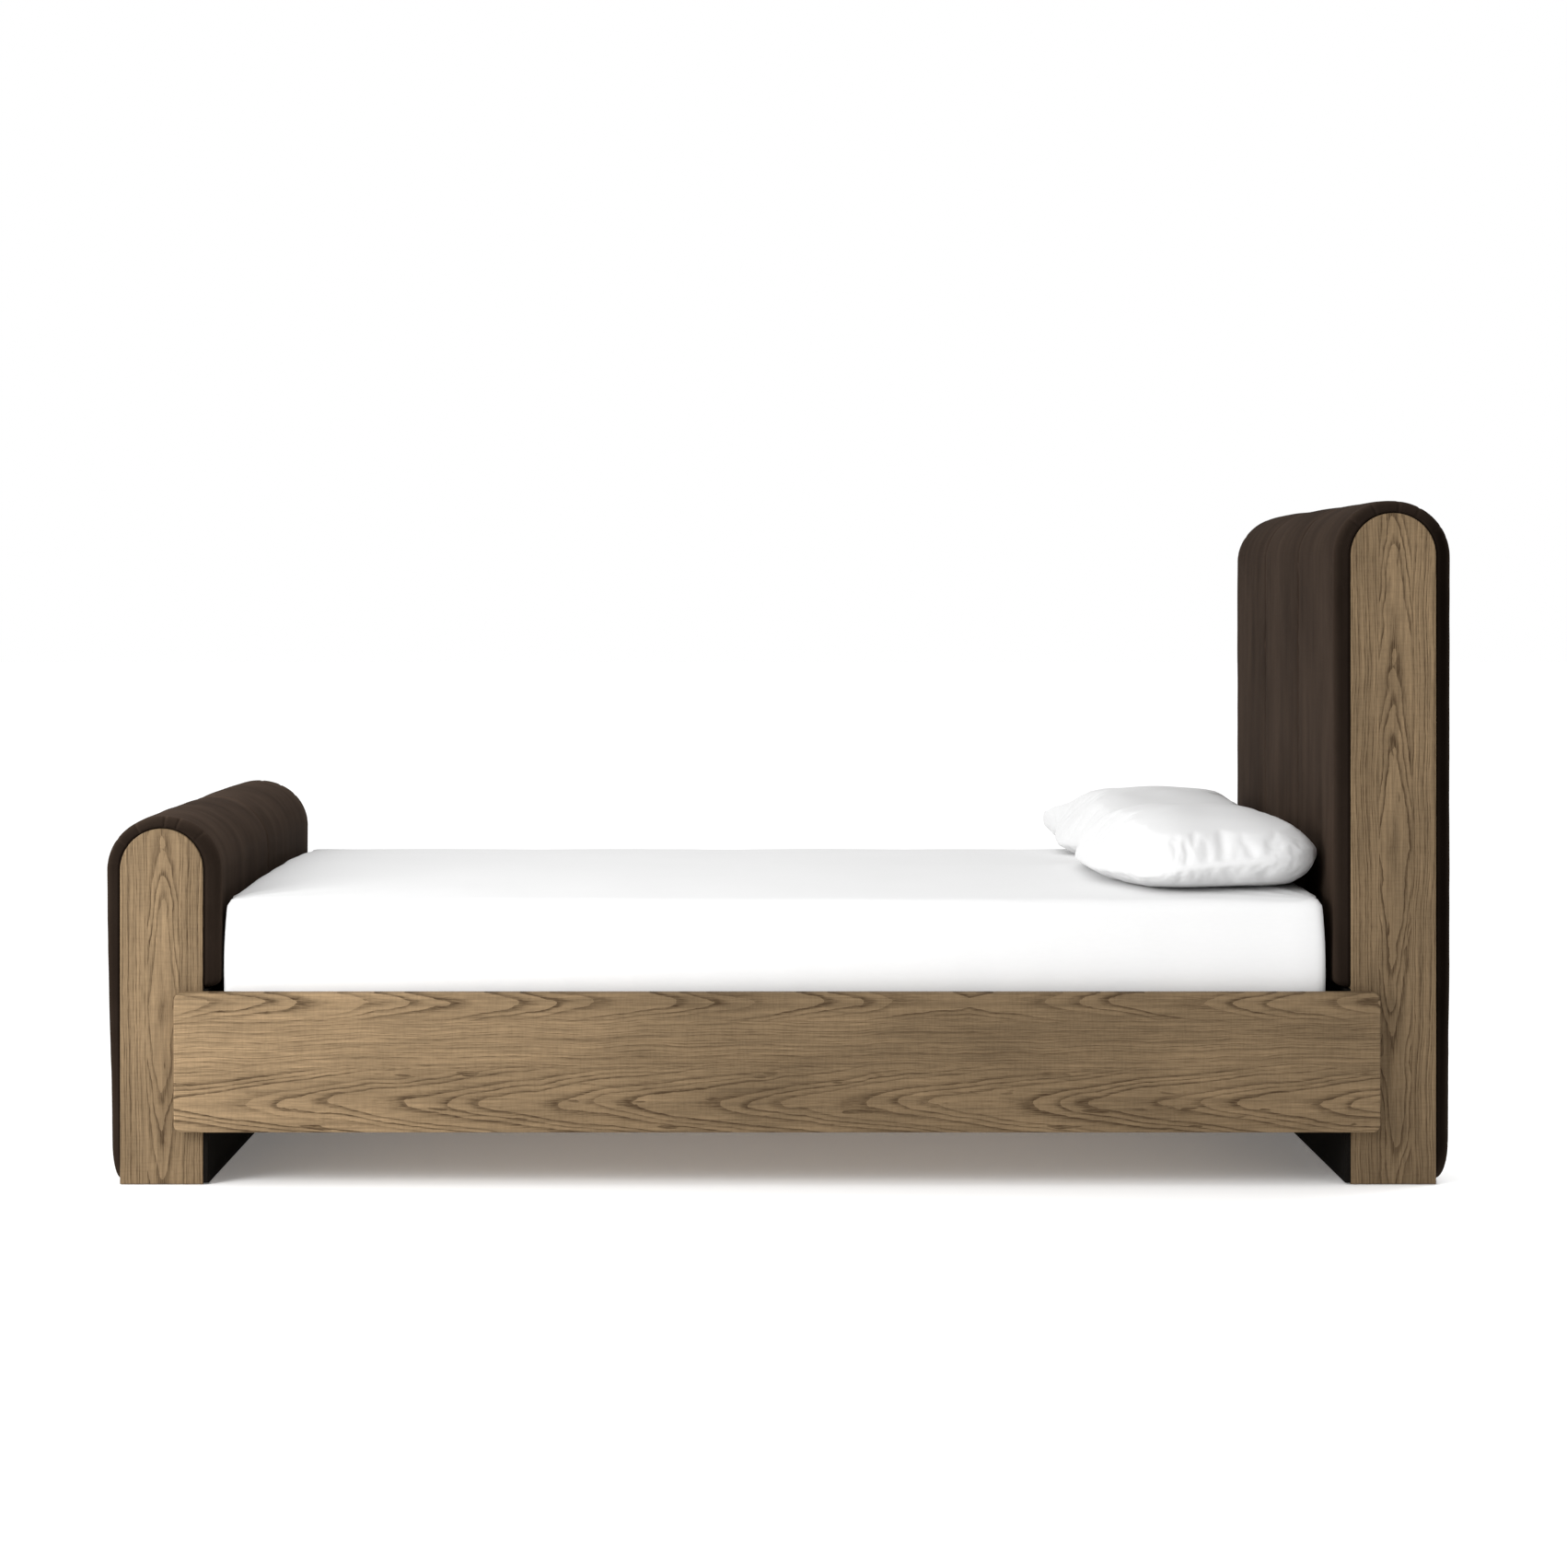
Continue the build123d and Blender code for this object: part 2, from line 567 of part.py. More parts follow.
def pillow_form(inset):
    """The far pillow's shape: two crossed lenses, flatter below than above."""
    rise = PILLOW_HEIGHT * PILLOW_SEAM_HEIGHT
    edge = PILLOW_EDGE / 2 - inset
    profiles = []
    for length, plane in ((PILLOW_DEPTH, Plane.XZ), (PILLOW_WIDTH, Plane.YZ)):
        half = length / 2 - inset
        with BuildSketch(plane) as lens:
            with BuildLine():
                top = ThreePointArc((-half, rise + edge), (0, PILLOW_HEIGHT - inset), (half, rise + edge))
                base = ThreePointArc((-half, rise - edge), (0, inset), (half, rise - edge))
                Line(top @ 0, base @ 0)
                Line(top @ 1, base @ 1)
            make_face()
        profiles.append(extrude(lens.sketch, amount=PILLOW_WIDTH, both=True))
    return Pos(PILLOW_CENTRE_X, PILLOW_CENTRE_Y, MATTRESS_TOP + CLEAR) * (profiles[0] & profiles[1])


def pillow():
    """The far pillow's filled insert."""
    return pillow_form(CASE + SKIN_GAP)


def pillowcase():
    """The case round the far insert, open along its outer end."""
    end = PILLOW_CENTRE_Y + PILLOW_WIDTH / 2 - CASE_MOUTH
    x0 = PILLOW_CENTRE_X - PILLOW_DEPTH
    x1 = PILLOW_CENTRE_X + PILLOW_DEPTH
    kept = block(x0, x1, -PILLOW_WIDTH, end, MATTRESS_TOP, MATTRESS_TOP + 2 * PILLOW_HEIGHT)
    return (pillow_form(0.0) & kept) - pillow_form(CASE)


# ---------------------------------------------------------------- write every node
def write_end_unit(unit, rear_name, front_name, seam_ys, seam_names):
    """All the nodes of the head or the foot."""
    near = end_panel(unit)
    save(f"{unit.name}_end_panel_near", near)
    save(f"{unit.name}_end_panel_far", near.mirror(Plane.XZ))
    save(f"{unit.name}_{front_name}_board", inner_board(unit))
    save(f"{unit.name}_{rear_name}_board", outer_board(unit))
    save(f"{unit.name}_top_board", top_board(unit))
    save(f"{unit.name}_ribs", Compound(children=ribs(unit)))
    save(f"{unit.name}_bolt_rail", bolt_rail(unit))
    save(f"{unit.name}_foam", Compound(children=foam(unit)))
    for name, panel in zip(seam_names, leather_panels(unit, seam_ys)):
        save(f"{unit.name}_leather_{name}", panel)
    save(f"{unit.name}_lower_panel", lower_panel(unit))


def write_fasteners():
    """One node for each kind of fastener, as a group of separate solids."""
    bolts = [near_bolt(unit, y, z) for unit in (HEAD, FOOT) for y, z in BOLT_AXES]
    inserts = [insert_x(unit, y, z) for unit in (HEAD, FOOT) for y, z in BOLT_AXES]
    dowels = [near_dowel(unit, z) for unit in (HEAD, FOOT) for z in DOWEL_HEIGHTS]
    glide_y = -(HALF_SPAN - PANEL_THICKNESS / 2)
    glides = [
        rod_z(x, glide_y, 0, GLIDE_HEIGHT, GLIDE_RADIUS)
        for unit in (HEAD, FOOT) for x in glide_spots(unit)
    ]
    save("bed_bolts", Compound(children=mirrored(bolts)))
    save("threaded_inserts", Compound(children=mirrored(inserts) + [insert_z(x) for x in LEG_POSITIONS]))
    save("dowels", Compound(children=mirrored(dowels) + [leg_dowel(x) for x in LEG_POSITIONS]))
    save("wood_screws", Compound(children=mirrored(near_screws)))
    save("floor_glides", Compound(children=mirrored(glides)))


def write_base():
    """Rails, ledges, slats, beam, hangers, legs, levellers and brackets."""
    for node, shape in (("side_rail", side_rail()), ("slat_ledge", slat_ledge())):
        save(f"{node}_near", shape)
        save(f"{node}_far", shape.mirror(Plane.XZ))
    for number, x in enumerate(slat_centres, start=1):
        save(f"slat_{number:02d}", slat(x))
    save("centre_beam", centre_beam())
    save("beam_hangers", Compound(children=[beam_hanger(HEAD), beam_hanger(FOOT)]))
    save("centre_legs", Compound(children=[centre_leg(x) for x in LEG_POSITIONS]))
    for number, x in enumerate(LEG_POSITIONS, start=1):
        save(f"leveller_stem_{number}", leveller_stem(x))
        save(f"leveller_pad_{number}", leveller_pad(x))
    save("rail_brackets", Compound(children=mirrored([rail_bracket(HEAD), rail_bracket(FOOT)])))


def write_bedding():
    """Mattress, fitted sheet, pillows and pillowcases."""
    save("mattress", mattress_form(SHEET + SKIN_GAP, SLAT_TOP + CLEAR + SHEET + SKIN_GAP))
    save("fitted_sheet", fitted_sheet())
    for node, shape in (("pillow", pillow()), ("pillowcase", pillowcase())):
        save(f"{node}_far", shape)
        save(f"{node}_near", shape.mirror(Plane.XZ))


HEAD_SEAM = PAD_HALF_WIDTH / 3
write_end_unit(HEAD, "rear", "front", [-HEAD_SEAM, HEAD_SEAM], ["near", "middle", "far"])
write_end_unit(FOOT, "outer", "inner", [0.0], ["near", "far"])
write_base()
write_fasteners()
write_bedding()
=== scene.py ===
"""Looks for the sleigh bed: materials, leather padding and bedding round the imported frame. Metres, +Z up."""

import math
import random
from dataclasses import dataclass

import bmesh
import bpy
import numpy as np
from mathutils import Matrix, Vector, noise


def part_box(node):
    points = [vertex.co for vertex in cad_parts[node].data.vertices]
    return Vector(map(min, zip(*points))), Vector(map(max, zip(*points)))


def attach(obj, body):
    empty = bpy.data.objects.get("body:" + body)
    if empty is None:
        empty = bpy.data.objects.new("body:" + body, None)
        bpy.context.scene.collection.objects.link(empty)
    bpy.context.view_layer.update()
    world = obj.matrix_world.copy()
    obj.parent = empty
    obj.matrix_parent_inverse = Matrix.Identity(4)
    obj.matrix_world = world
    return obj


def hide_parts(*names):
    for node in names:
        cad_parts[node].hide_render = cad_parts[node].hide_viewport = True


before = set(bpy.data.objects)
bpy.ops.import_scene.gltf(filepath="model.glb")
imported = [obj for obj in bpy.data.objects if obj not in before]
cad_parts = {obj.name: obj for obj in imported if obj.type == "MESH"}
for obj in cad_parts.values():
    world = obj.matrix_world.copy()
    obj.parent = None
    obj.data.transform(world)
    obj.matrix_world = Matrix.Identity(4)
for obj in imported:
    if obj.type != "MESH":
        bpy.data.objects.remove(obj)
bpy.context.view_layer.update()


def grey(level):
    return (level, level, level, 1.0)


def shaded(colour, factor):
    """A colour made darker or lighter."""
    return tuple(min(1.0, factor * c) for c in colour[:3]) + (1.0,)


# ---------------------------------------------------------------- material graphs
def add_node(tree, kind, inputs=None, **settings):
    """A node with its settings made and its inputs linked or filled."""
    made = tree.nodes.new(kind)
    for key, value in settings.items():
        setattr(made, key, value)
    for key, value in (inputs or {}).items():
        if isinstance(value, bpy.types.NodeSocket):
            tree.links.new(value, made.inputs[key])
        else:
            made.inputs[key].default_value = value
    return made


class Graph:
    """A node material being built; coordinates are the bed's own, in metres."""

    def __init__(self, name, roughness=0.6, specular=0.3, sheen=0.0, metallic=0.0):
        self.material = bpy.data.materials.new(name)
        self.material.use_nodes = True
        self.tree = self.material.node_tree
        self.shader = self.tree.nodes["Principled BSDF"]
        for key, value in (
            ("Roughness", roughness), ("Specular IOR Level", specular), ("Sheen Weight", sheen),
            ("Sheen Roughness", 0.5), ("Metallic", metallic),
        ):
            self.shader.inputs[key].default_value = value
        place = self.tree.nodes.new("ShaderNodeTexCoord")
        self.place = place.outputs["Object"]
        split = self.node("ShaderNodeSeparateXYZ", {0: self.place})
        self.axis = dict(zip("xyz", split.outputs))

    def node(self, kind, inputs=None, **settings):
        return add_node(self.tree, kind, inputs, **settings)

    def math(self, operation, a, b=0.0, c=0.0):
        return self.node("ShaderNodeMath", {0: a, 1: b, 2: c}, operation=operation).outputs[0]

    def times(self, a, b):
        return self.math("MULTIPLY", a, b)

    def vector(self, x=0.0, y=0.0, z=0.0):
        return self.node("ShaderNodeCombineXYZ", {0: x, 1: y, 2: z}).outputs[0]

    def noise(self, vector, scale=1.0, detail=3.0, roughness=0.5):
        inputs = {"Vector": vector, "Scale": scale, "Detail": detail, "Roughness": roughness}
        return self.node("ShaderNodeTexNoise", inputs).outputs["Fac"]

    def axis_noise(self, scales, detail=3.0, roughness=0.5):
        """Noise with its own scale along each of the bed's axes."""
        place = self.node("ShaderNodeVectorMath", {0: self.place, 1: scales}, operation="MULTIPLY")
        return self.noise(place.outputs[0], 1.0, detail, roughness)

    def stretched_noise(self, u, v, u_scale, v_scale, cut, detail, roughness=0.5):
        """Noise over two axes, each with its own scale, at one place on a third."""
        place = self.vector(self.times(u, u_scale), self.times(v, v_scale), cut)
        return self.noise(place, 1.0, detail, roughness)

    def ramp(self, factor, stops):
        """Grey or colour stops, as (position, value) pairs."""
        made = self.node("ShaderNodeValToRGB", {0: factor})
        elements = made.color_ramp.elements
        while len(elements) < len(stops):
            elements.new(0.5)
        for element, (position, value) in zip(elements, stops):
            element.position = position
            element.color = value if hasattr(value, "__len__") else (value, value, value, 1.0)
        return made.outputs["Color"]

    def mix(self, factor, a, b, blend="MIX"):
        made = self.node("ShaderNodeMix", {0: factor}, data_type="RGBA", blend_type=blend)
        for index, value in ((6, a), (7, b)):
            if isinstance(value, bpy.types.NodeSocket):
                self.tree.links.new(value, made.inputs[index])
            else:
                made.inputs[index].default_value = value
        return made.outputs[2]

    def bump(self, height, strength, distance):
        """Adds a bump under the ones already there."""
        made = self.node("ShaderNodeBump", {"Height": height, "Strength": strength, "Distance": distance})
        normal = self.shader.inputs["Normal"]
        if normal.is_linked:
            self.tree.links.new(normal.links[0].from_socket, made.inputs["Normal"])
        self.tree.links.new(made.outputs[0], normal)

    def colour(self, socket):
        self.tree.links.new(socket, self.shader.inputs["Base Color"])

    def roughness(self, socket):
        self.tree.links.new(socket, self.shader.inputs["Roughness"])


@dataclass
class Board:
    """One board of a panel: where it starts across the grain and how its growth rings run."""

    start: float                  # lower edge across the grain
    heart: float                  # where the tips of the loops lie across the grain
    taper: float                  # how fast the rings climb along the board; 0 is straight grain
    spacing: float                # growth ring width
    seed: int
    strength: float = 1.0         # contrast of the ring lines
    blunt: float = 0.020          # roundness of the loop tips
    wander: float = 0.03          # how far the tips wander across the grain
    warp: float = 0.016           # how far the rings waver
    ragged: float = 0.0024        # how ragged each line is
    blend: float = 0.0006         # width of the change to the next board
    flame: float = 0.0            # share of broad dark patches
    crest: float = None           # where along the board the loops turn to point the other way


def ring_lines(graph, along, across, board):
    """Growth ring lines of one board: 0 in the pale wood, 1 on a line."""
    seed = float(board.seed)
    drift = graph.noise(graph.vector(graph.times(along, 2.3), seed, 0.0), 1.0, 2.0)
    side = graph.math("SUBTRACT", across, board.heart)
    side = graph.math("MULTIPLY_ADD", graph.math("SUBTRACT", drift, 0.5), board.wander, side)
    radius = graph.math("MULTIPLY_ADD", side, side, board.blunt ** 2)
    climb = along
    if board.crest is not None:
        climb = graph.math("ABSOLUTE", graph.math("SUBTRACT", along, board.crest))
    radius = graph.math("MULTIPLY_ADD", climb, board.taper, graph.math("SQRT", radius))
    broad = graph.math("SUBTRACT", graph.stretched_noise(along, across, 7.0, 15.0, seed + 3.1, 2.0), 0.5)
    fine = graph.math("SUBTRACT", graph.stretched_noise(along, across, 55.0, 70.0, seed, 3.0, 0.6), 0.5)
    radius = graph.math("MULTIPLY_ADD", broad, board.warp, radius)
    radius = graph.math("MULTIPLY_ADD", fine, board.ragged, radius)
    phase = graph.math("DIVIDE", radius, board.spacing)
    uneven = graph.times(graph.math("SINE", graph.times(phase, 2.1)), 0.28)
    phase = graph.math("ADD", phase, uneven)
    lines = graph.ramp(
        graph.math("FRACT", phase),
        [(0.0, 0.85), (0.10, 1.0), (0.24, 0.62), (0.44, 0.12), (0.75, 0.0), (0.985, 0.02), (1.0, 0.85)],
    )
    ring_number = graph.times(graph.math("FLOOR", phase), 0.73)
    ring = graph.noise(graph.vector(ring_number, seed, 5.0), 1.0, 0.0)
    lines = graph.times(lines, graph.ramp(ring, [(0.30, 0.45), (0.62, 1.0)]))
    if board.flame:
        patch = graph.stretched_noise(along, across, 11.0, 60.0, seed + 9.0, 1.5)
        patch = graph.ramp(patch, [(0.70 - board.flame, 0.0), (0.72 - board.flame, 0.75)])
        lines = graph.math("MAXIMUM", lines, patch)
    return graph.times(lines, board.strength)


OAK_LIGHT = (0.270, 0.186, 0.104, 1.0)
OAK_DARK = (0.056, 0.034, 0.017, 1.0)


def oak(name, along, across, boards, painted_light):
    """Brushed, stained oak with growth rings, pores and fibres, and painted light and shade along the grain.
    """
    graph = Graph(name, roughness=0.66, specular=0.10)
    u = graph.axis[along]
    v = graph.axis[across]
    third = graph.axis[({"x", "y", "z"} - {along, across}).pop()]
    lines = None
    for board in boards:
        own = ring_lines(graph, u, v, board)
        if lines is None:
            lines = own
        else:
            inside = graph.math("DIVIDE", graph.math("SUBTRACT", v, board.start), board.blend)
            inside = graph.math("MINIMUM", graph.math("MAXIMUM", inside, 0.0), 1.0)
            lines = graph.mix(inside, lines, own)

    def streaks(along_scale, across_scale, detail):
        depth = graph.times(third, 0.3 * across_scale)
        return graph.stretched_noise(u, v, along_scale, across_scale, depth, detail, 0.62)

    pores = graph.ramp(streaks(30.0, 620.0, 2.0), [(0.46, 0.0), (0.60, 1.0)])
    fibres = streaks(7.0, 210.0, 3.0)
    bands = streaks(3.0, 55.0, 3.0)
    patches = graph.stretched_noise(u, v, 3.4, 9.0, 3.0, 3.0)
    chatter = graph.stretched_noise(u, v, 260.0, 30.0, 1.0, 1.0)
    marks = graph.times(lines, graph.math("MULTIPLY_ADD", pores, 0.42, 0.62))
    marks = graph.math("MULTIPLY_ADD", pores, 0.17, marks)
    marks = graph.math("MULTIPLY_ADD", graph.ramp(bands, [(0.45, 0.0), (0.72, 1.0)]), 0.20, marks)
    base = graph.mix(graph.ramp(patches, [(0.35, 0.0), (0.68, 1.0)]), OAK_LIGHT, shaded(OAK_LIGHT, 0.76))
    base = graph.mix(1.0, base, graph.ramp(fibres, [(0.28, 0.74), (0.72, 1.20)]), "MULTIPLY")
    base = graph.mix(1.0, base, graph.ramp(chatter, [(0.30, 0.93), (0.60, 1.03)]), "MULTIPLY")
    # painted light and shade: the colour is made lighter or darker along the grain as the lamp's light falls
    # off
    start, length = painted_light[0][0], painted_light[-1][0] - painted_light[0][0]
    run = graph.math("DIVIDE", graph.math("SUBTRACT", u, start), length)
    tone = graph.ramp(run, [((place - start) / length, value) for place, value in painted_light])
    base = graph.mix(1.0, base, tone, "MULTIPLY")
    graph.colour(graph.mix(graph.math("MINIMUM", marks, 1.0), base, OAK_DARK))
    graph.roughness(graph.math("MULTIPLY_ADD", marks, 0.16, 0.60))
    graph.bump(graph.math("SUBTRACT", graph.times(fibres, 0.4), marks), 0.45, 0.0007)
    return graph.material


def plain_wood(name, along, light, dark, ply=None):
    """Unfinished timber or plywood for the parts that don't show from outside."""
    graph = Graph(name, roughness=0.72, specular=0.2)
    stretch = [3.0 if axis == along else 120.0 for axis in "xyz"]
    fibres = graph.axis_noise(stretch, 4.0, 0.6)
    bands = graph.axis_noise([0.12 * s for s in stretch], 2.0)
    tone = graph.math("MULTIPLY_ADD", bands, 0.6, graph.times(fibres, 0.5))
    colour = graph.mix(graph.ramp(tone, [(0.35, 0.0), (0.75, 1.0)]), light, dark)
    if ply:
        layer = graph.math("FRACT", graph.math("DIVIDE", graph.axis[ply], 0.0024))
        plies = graph.ramp(layer, [(0.42, 1.0), (0.5, 0.82), (0.92, 0.82), (1.0, 1.0)])
        colour = graph.mix(plies, dark, colour)
    graph.colour(colour)
    graph.bump(fibres, 0.25, 0.0004)
    return graph.material


LEATHER_TURN = 0.753           # this far from the centre line the leather turns onto the ends
TURN_FADE = 0.018
RIM_PAINTED_SHADE = 0.37               # painted shade: the turned edge is made darker
REAR_RIM_AT = 1.19             # behind the head's wood the painted shade on the turned edge is darkest
REAR_RIM_FADE = 0.03
REAR_RIM_PAINTED_SHADE = 0.35
FOOT_TOP_AT = 0.57             # from this height up the foot's leather has a painted sheen, paler on top
FOOT_TOP_FADE = 0.09
FOOT_TOP_PAINTED_SHEEN = 1.5


def painted_leather_light(graph):
    """How the leather's colour is scaled by place: painted shade where it turns onto its ends, darkest behind
    the head, and a painted sheen on the foot's top.
    """

    def past(axis, start, fade):
        ramp_up = graph.math("DIVIDE", graph.math("SUBTRACT", axis, start), fade)
        return graph.ramp(ramp_up, [(0.0, 0.0), (1.0, 1.0)])

    behind = past(graph.axis["x"], REAR_RIM_AT, REAR_RIM_FADE)
    rim = graph.mix(behind, grey(RIM_PAINTED_SHADE), grey(RIM_PAINTED_SHADE * REAR_RIM_PAINTED_SHADE))
    on_foot = graph.math("LESS_THAN", graph.axis["x"], 0.0)
    on_foot_top = graph.times(on_foot, past(graph.axis["z"], FOOT_TOP_AT, FOOT_TOP_FADE))
    face = graph.mix(on_foot_top, grey(1.0), grey(FOOT_TOP_PAINTED_SHEEN))
    turned = past(graph.math("ABSOLUTE", graph.axis["y"]), LEATHER_TURN, TURN_FADE)
    return graph.mix(turned, face, rim)


def leather():
    """Dark waxed leather: cloudy patina, upright rub marks, fine creases and grain."""
    graph = Graph("dark_leather", roughness=0.6, specular=0.001)
    clouds = graph.axis_noise((4.5, 4.5, 2.6), 5.0, 0.62)
    rubs = graph.axis_noise((5.0, 13.0, 1.8), 4.0, 0.62)
    scuffs = graph.axis_noise((34.0, 30.0, 26.0), 4.0, 0.68)
    fine = graph.noise(graph.place, 340.0, 4.0, 0.6)
    cell_inputs = {"Vector": graph.place, "Scale": 560.0}
    cells = graph.node("ShaderNodeTexVoronoi", cell_inputs, feature="DISTANCE_TO_EDGE")
    creases = graph.ramp(cells.outputs["Distance"], [(0.0, 0.0), (0.14, 1.0)])
    worn = graph.math("MULTIPLY_ADD", clouds, 0.55, graph.times(rubs, 0.55))
    worn = graph.ramp(worn, [(0.40, 0.0), (0.74, 1.0)])
    rubbed_spots = graph.ramp(scuffs, [(0.54, 0.0), (0.70, 0.55)])
    worn = graph.math("MAXIMUM", worn, rubbed_spots)
    deep = graph.mix(clouds, (0.0225, 0.0148, 0.0106, 1.0), (0.0310, 0.0208, 0.0152, 1.0))
    rubbed = graph.mix(worn, deep, (0.0640, 0.0448, 0.0335, 1.0))
    grained = graph.mix(graph.times(fine, 0.5), rubbed, deep)
    # painted shade on the turned edges and a painted sheen on the foot's top scale the leather's own colour
    graph.colour(graph.mix(1.0, grained, painted_leather_light(graph), "MULTIPLY"))
    graph.shader.inputs["Specular Tint"].default_value = (1.0, 0.78, 0.62, 1.0)
    graph.roughness(graph.math("MULTIPLY_ADD", worn, 0.14, 0.54))
    graph.bump(creases, 0.12, 0.00025)
    graph.bump(fine, 0.25, 0.0004)
    graph.bump(scuffs, 0.10, 0.003)
    return graph.material


def cotton(name, colour, thread):
    """Plain-woven cotton: crossing threads, slight slubs and a soft surface."""
    graph = Graph(name, roughness=0.86, specular=0.12, sheen=0.10)
    pitch = 2.0 * math.pi / thread
    warp, weft, upright = [
        graph.math("SINE", graph.times(graph.axis[axis], pitch)) for axis in "xyz"
    ]
    weave = graph.times(graph.math("ADD", warp, upright), graph.math("ADD", weft, upright))
    slubs = graph.axis_noise((60.0, 260.0, 260.0))
    soft = graph.noise(graph.place, 5.0, 3.0)
    uneven = graph.math("MULTIPLY_ADD", slubs, 0.5, graph.times(soft, 0.5))
    graph.colour(graph.mix(uneven, colour, shaded(colour, 0.94)))
    graph.bump(weave, 0.22, 0.00012)
    graph.bump(slubs, 0.10, 0.0003)
    return graph.material


def black_cloth():
    """Matt black lining cloth."""
    graph = Graph("black_lining", roughness=0.95, specular=0.02)
    inputs = {"Vector": graph.place, "Scale": 420.0}
    weave = graph.node("ShaderNodeTexWave", inputs, bands_direction="DIAGONAL")
    lint = graph.noise(graph.place, 260.0, 4.0, 0.6)
    graph.colour(graph.mix(lint, (0.0040, 0.0035, 0.0030, 1.0), (0.0100, 0.0088, 0.0076, 1.0)))
    graph.bump(weave.outputs["Fac"], 0.3, 0.0003)
    return graph.material


def ticking():
    """Mattress and insert ticking: a fine herringbone in off-white."""
    graph = Graph("ticking", roughness=0.85, specular=0.15, sheen=0.05)
    inputs = {"Vector": graph.place, "Scale": 160.0, "Distortion": 0.6}
    twill = graph.node("ShaderNodeTexWave", inputs, bands_direction="DIAGONAL")
    slubs = graph.noise(graph.place, 90.0, 3.0)
    pale = graph.mix(slubs, (0.74, 0.72, 0.67, 1.0), (0.86, 0.85, 0.80, 1.0))
    shadow = graph.times(twill.outputs["Fac"], 0.25)
    graph.colour(graph.mix(shadow, pale, (0.60, 0.60, 0.58, 1.0)))
    graph.bump(twill.outputs["Fac"], 0.3, 0.0004)
    return graph.material


def metal(name, colour, roughness, metallic):
    """Plated or powder-coated steel with fine handling marks."""
    graph = Graph(name, roughness=roughness, specular=0.5, metallic=metallic)
    marks = graph.axis_noise((40.0, 900.0, 300.0), 3.0, 0.6)
    orange_peel = graph.noise(graph.place, 900.0, 2.0)
    graph.colour(graph.mix(graph.ramp(marks, [(0.45, 0.0), (0.8, 1.0)]), colour, shaded(colour, 1.35)))
    graph.roughness(graph.math("MULTIPLY_ADD", marks, 0.3, roughness - 0.15))
    graph.bump(orange_peel, 0.12, 0.0002)
    return graph.material


def nylon():
    """Black moulded nylon with a fine spark texture."""
    graph = Graph("black_nylon", roughness=0.5, specular=0.4)
    spark = graph.noise(graph.place, 1500.0, 3.0, 0.6)
    graph.colour(graph.mix(spark, (0.011, 0.011, 0.012, 1.0), (0.022, 0.022, 0.023, 1.0)))
    graph.roughness(graph.math("MULTIPLY_ADD", spark, 0.25, 0.38))
    graph.bump(spark, 0.25, 0.0002)
    return graph.material


# painted light and shade on the wood, as (place along the grain, brightness), lighter nearer the lamp
RAIL_PAINTED_LIGHT = ((-1.11, 1.20), (-0.60, 1.02), (0.0, 0.76), (0.60, 0.78), (1.11, 0.88))
HEAD_PAINTED_LIGHT = ((0.0, 0.66), (0.40, 0.79), (0.85, 0.87), (1.24, 0.89))
FOOT_PAINTED_LIGHT = ((0.0, 0.87), (0.33, 0.91), (0.66, 0.86))

rail_low, rail_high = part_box("side_rail_near")
rail_height = rail_high.z - rail_low.z
rail_boards = [
    Board(rail_low.z, rail_low.z + 0.21 * rail_height, -0.105, 0.0098, 11, blunt=0.024, flame=0.035),
    Board(rail_low.z + 0.40 * rail_height, rail_high.z + 0.30, 0.012, 0.0062, 23,
          strength=0.60, ragged=0.0014, blend=0.024),
    Board(rail_low.z + 0.78 * rail_height, rail_high.z - 0.018, -0.100, 0.0092, 37,
          blend=0.020, crest=0.35),
]


def panel_boards(end, seed, taper):
    """Three boards side by side in one end panel: straight grain, cathedral grain, straight grain."""
    low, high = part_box(f"{end}_end_panel_near")
    width = high.x - low.x
    middle = (low.z + high.z) / 2.0
    return [
        Board(low.x, low.x - 0.25, 0.010, 0.0068, seed, strength=0.85, warp=0.010, ragged=0.0014),
        Board(low.x + 0.33 * width, low.x + 0.50 * width, taper, 0.0128, seed + 1,
              blunt=0.010, wander=0.045, warp=0.032, ragged=0.0036, flame=0.035, crest=middle),
        Board(low.x + 0.71 * width, high.x + 0.22, 0.014, 0.0064, seed + 2,
              strength=0.90, warp=0.012, ragged=0.0014),
    ]


PINE = ((0.62, 0.45, 0.27, 1.0), (0.46, 0.30, 0.16, 1.0))       # pale and dark tone
PLYWOOD = ((0.58, 0.42, 0.26, 1.0), (0.40, 0.27, 0.15, 1.0))

rail_oak = oak("rail_oak", "x", "z", rail_boards, RAIL_PAINTED_LIGHT)
head_oak = oak("head_panel_oak", "z", "x", panel_boards("head", 51, 0.105), HEAD_PAINTED_LIGHT)
foot_oak = oak("foot_panel_oak", "z", "x", panel_boards("foot", 83, 0.120), FOOT_PAINTED_LIGHT)
hide = leather()
lining = black_cloth()
sheet_cotton = cotton("sheet_cotton", grey(0.80), thread=0.0011)
case_cotton = cotton("pillow_cotton", grey(0.762), thread=0.0009)
mattress_ticking = ticking()
slat_wood = plain_wood("slat_pine", "y", *PINE)
beam_wood = plain_wood("beam_pine", "x", *PINE)
leg_wood = plain_wood("leg_pine", "z", *PINE)
bolt_rail_wood = plain_wood("bolt_rail_pine", "y", *PINE)
plywood_upright = plain_wood("plywood_upright", "z", *PLYWOOD, ply="x")
plywood_ribs = plain_wood("plywood_ribs", "z", *PLYWOOD, ply="y")
beech = plain_wood("beech_dowel", "y", (0.60, 0.40, 0.25, 1.0), (0.48, 0.30, 0.17, 1.0))
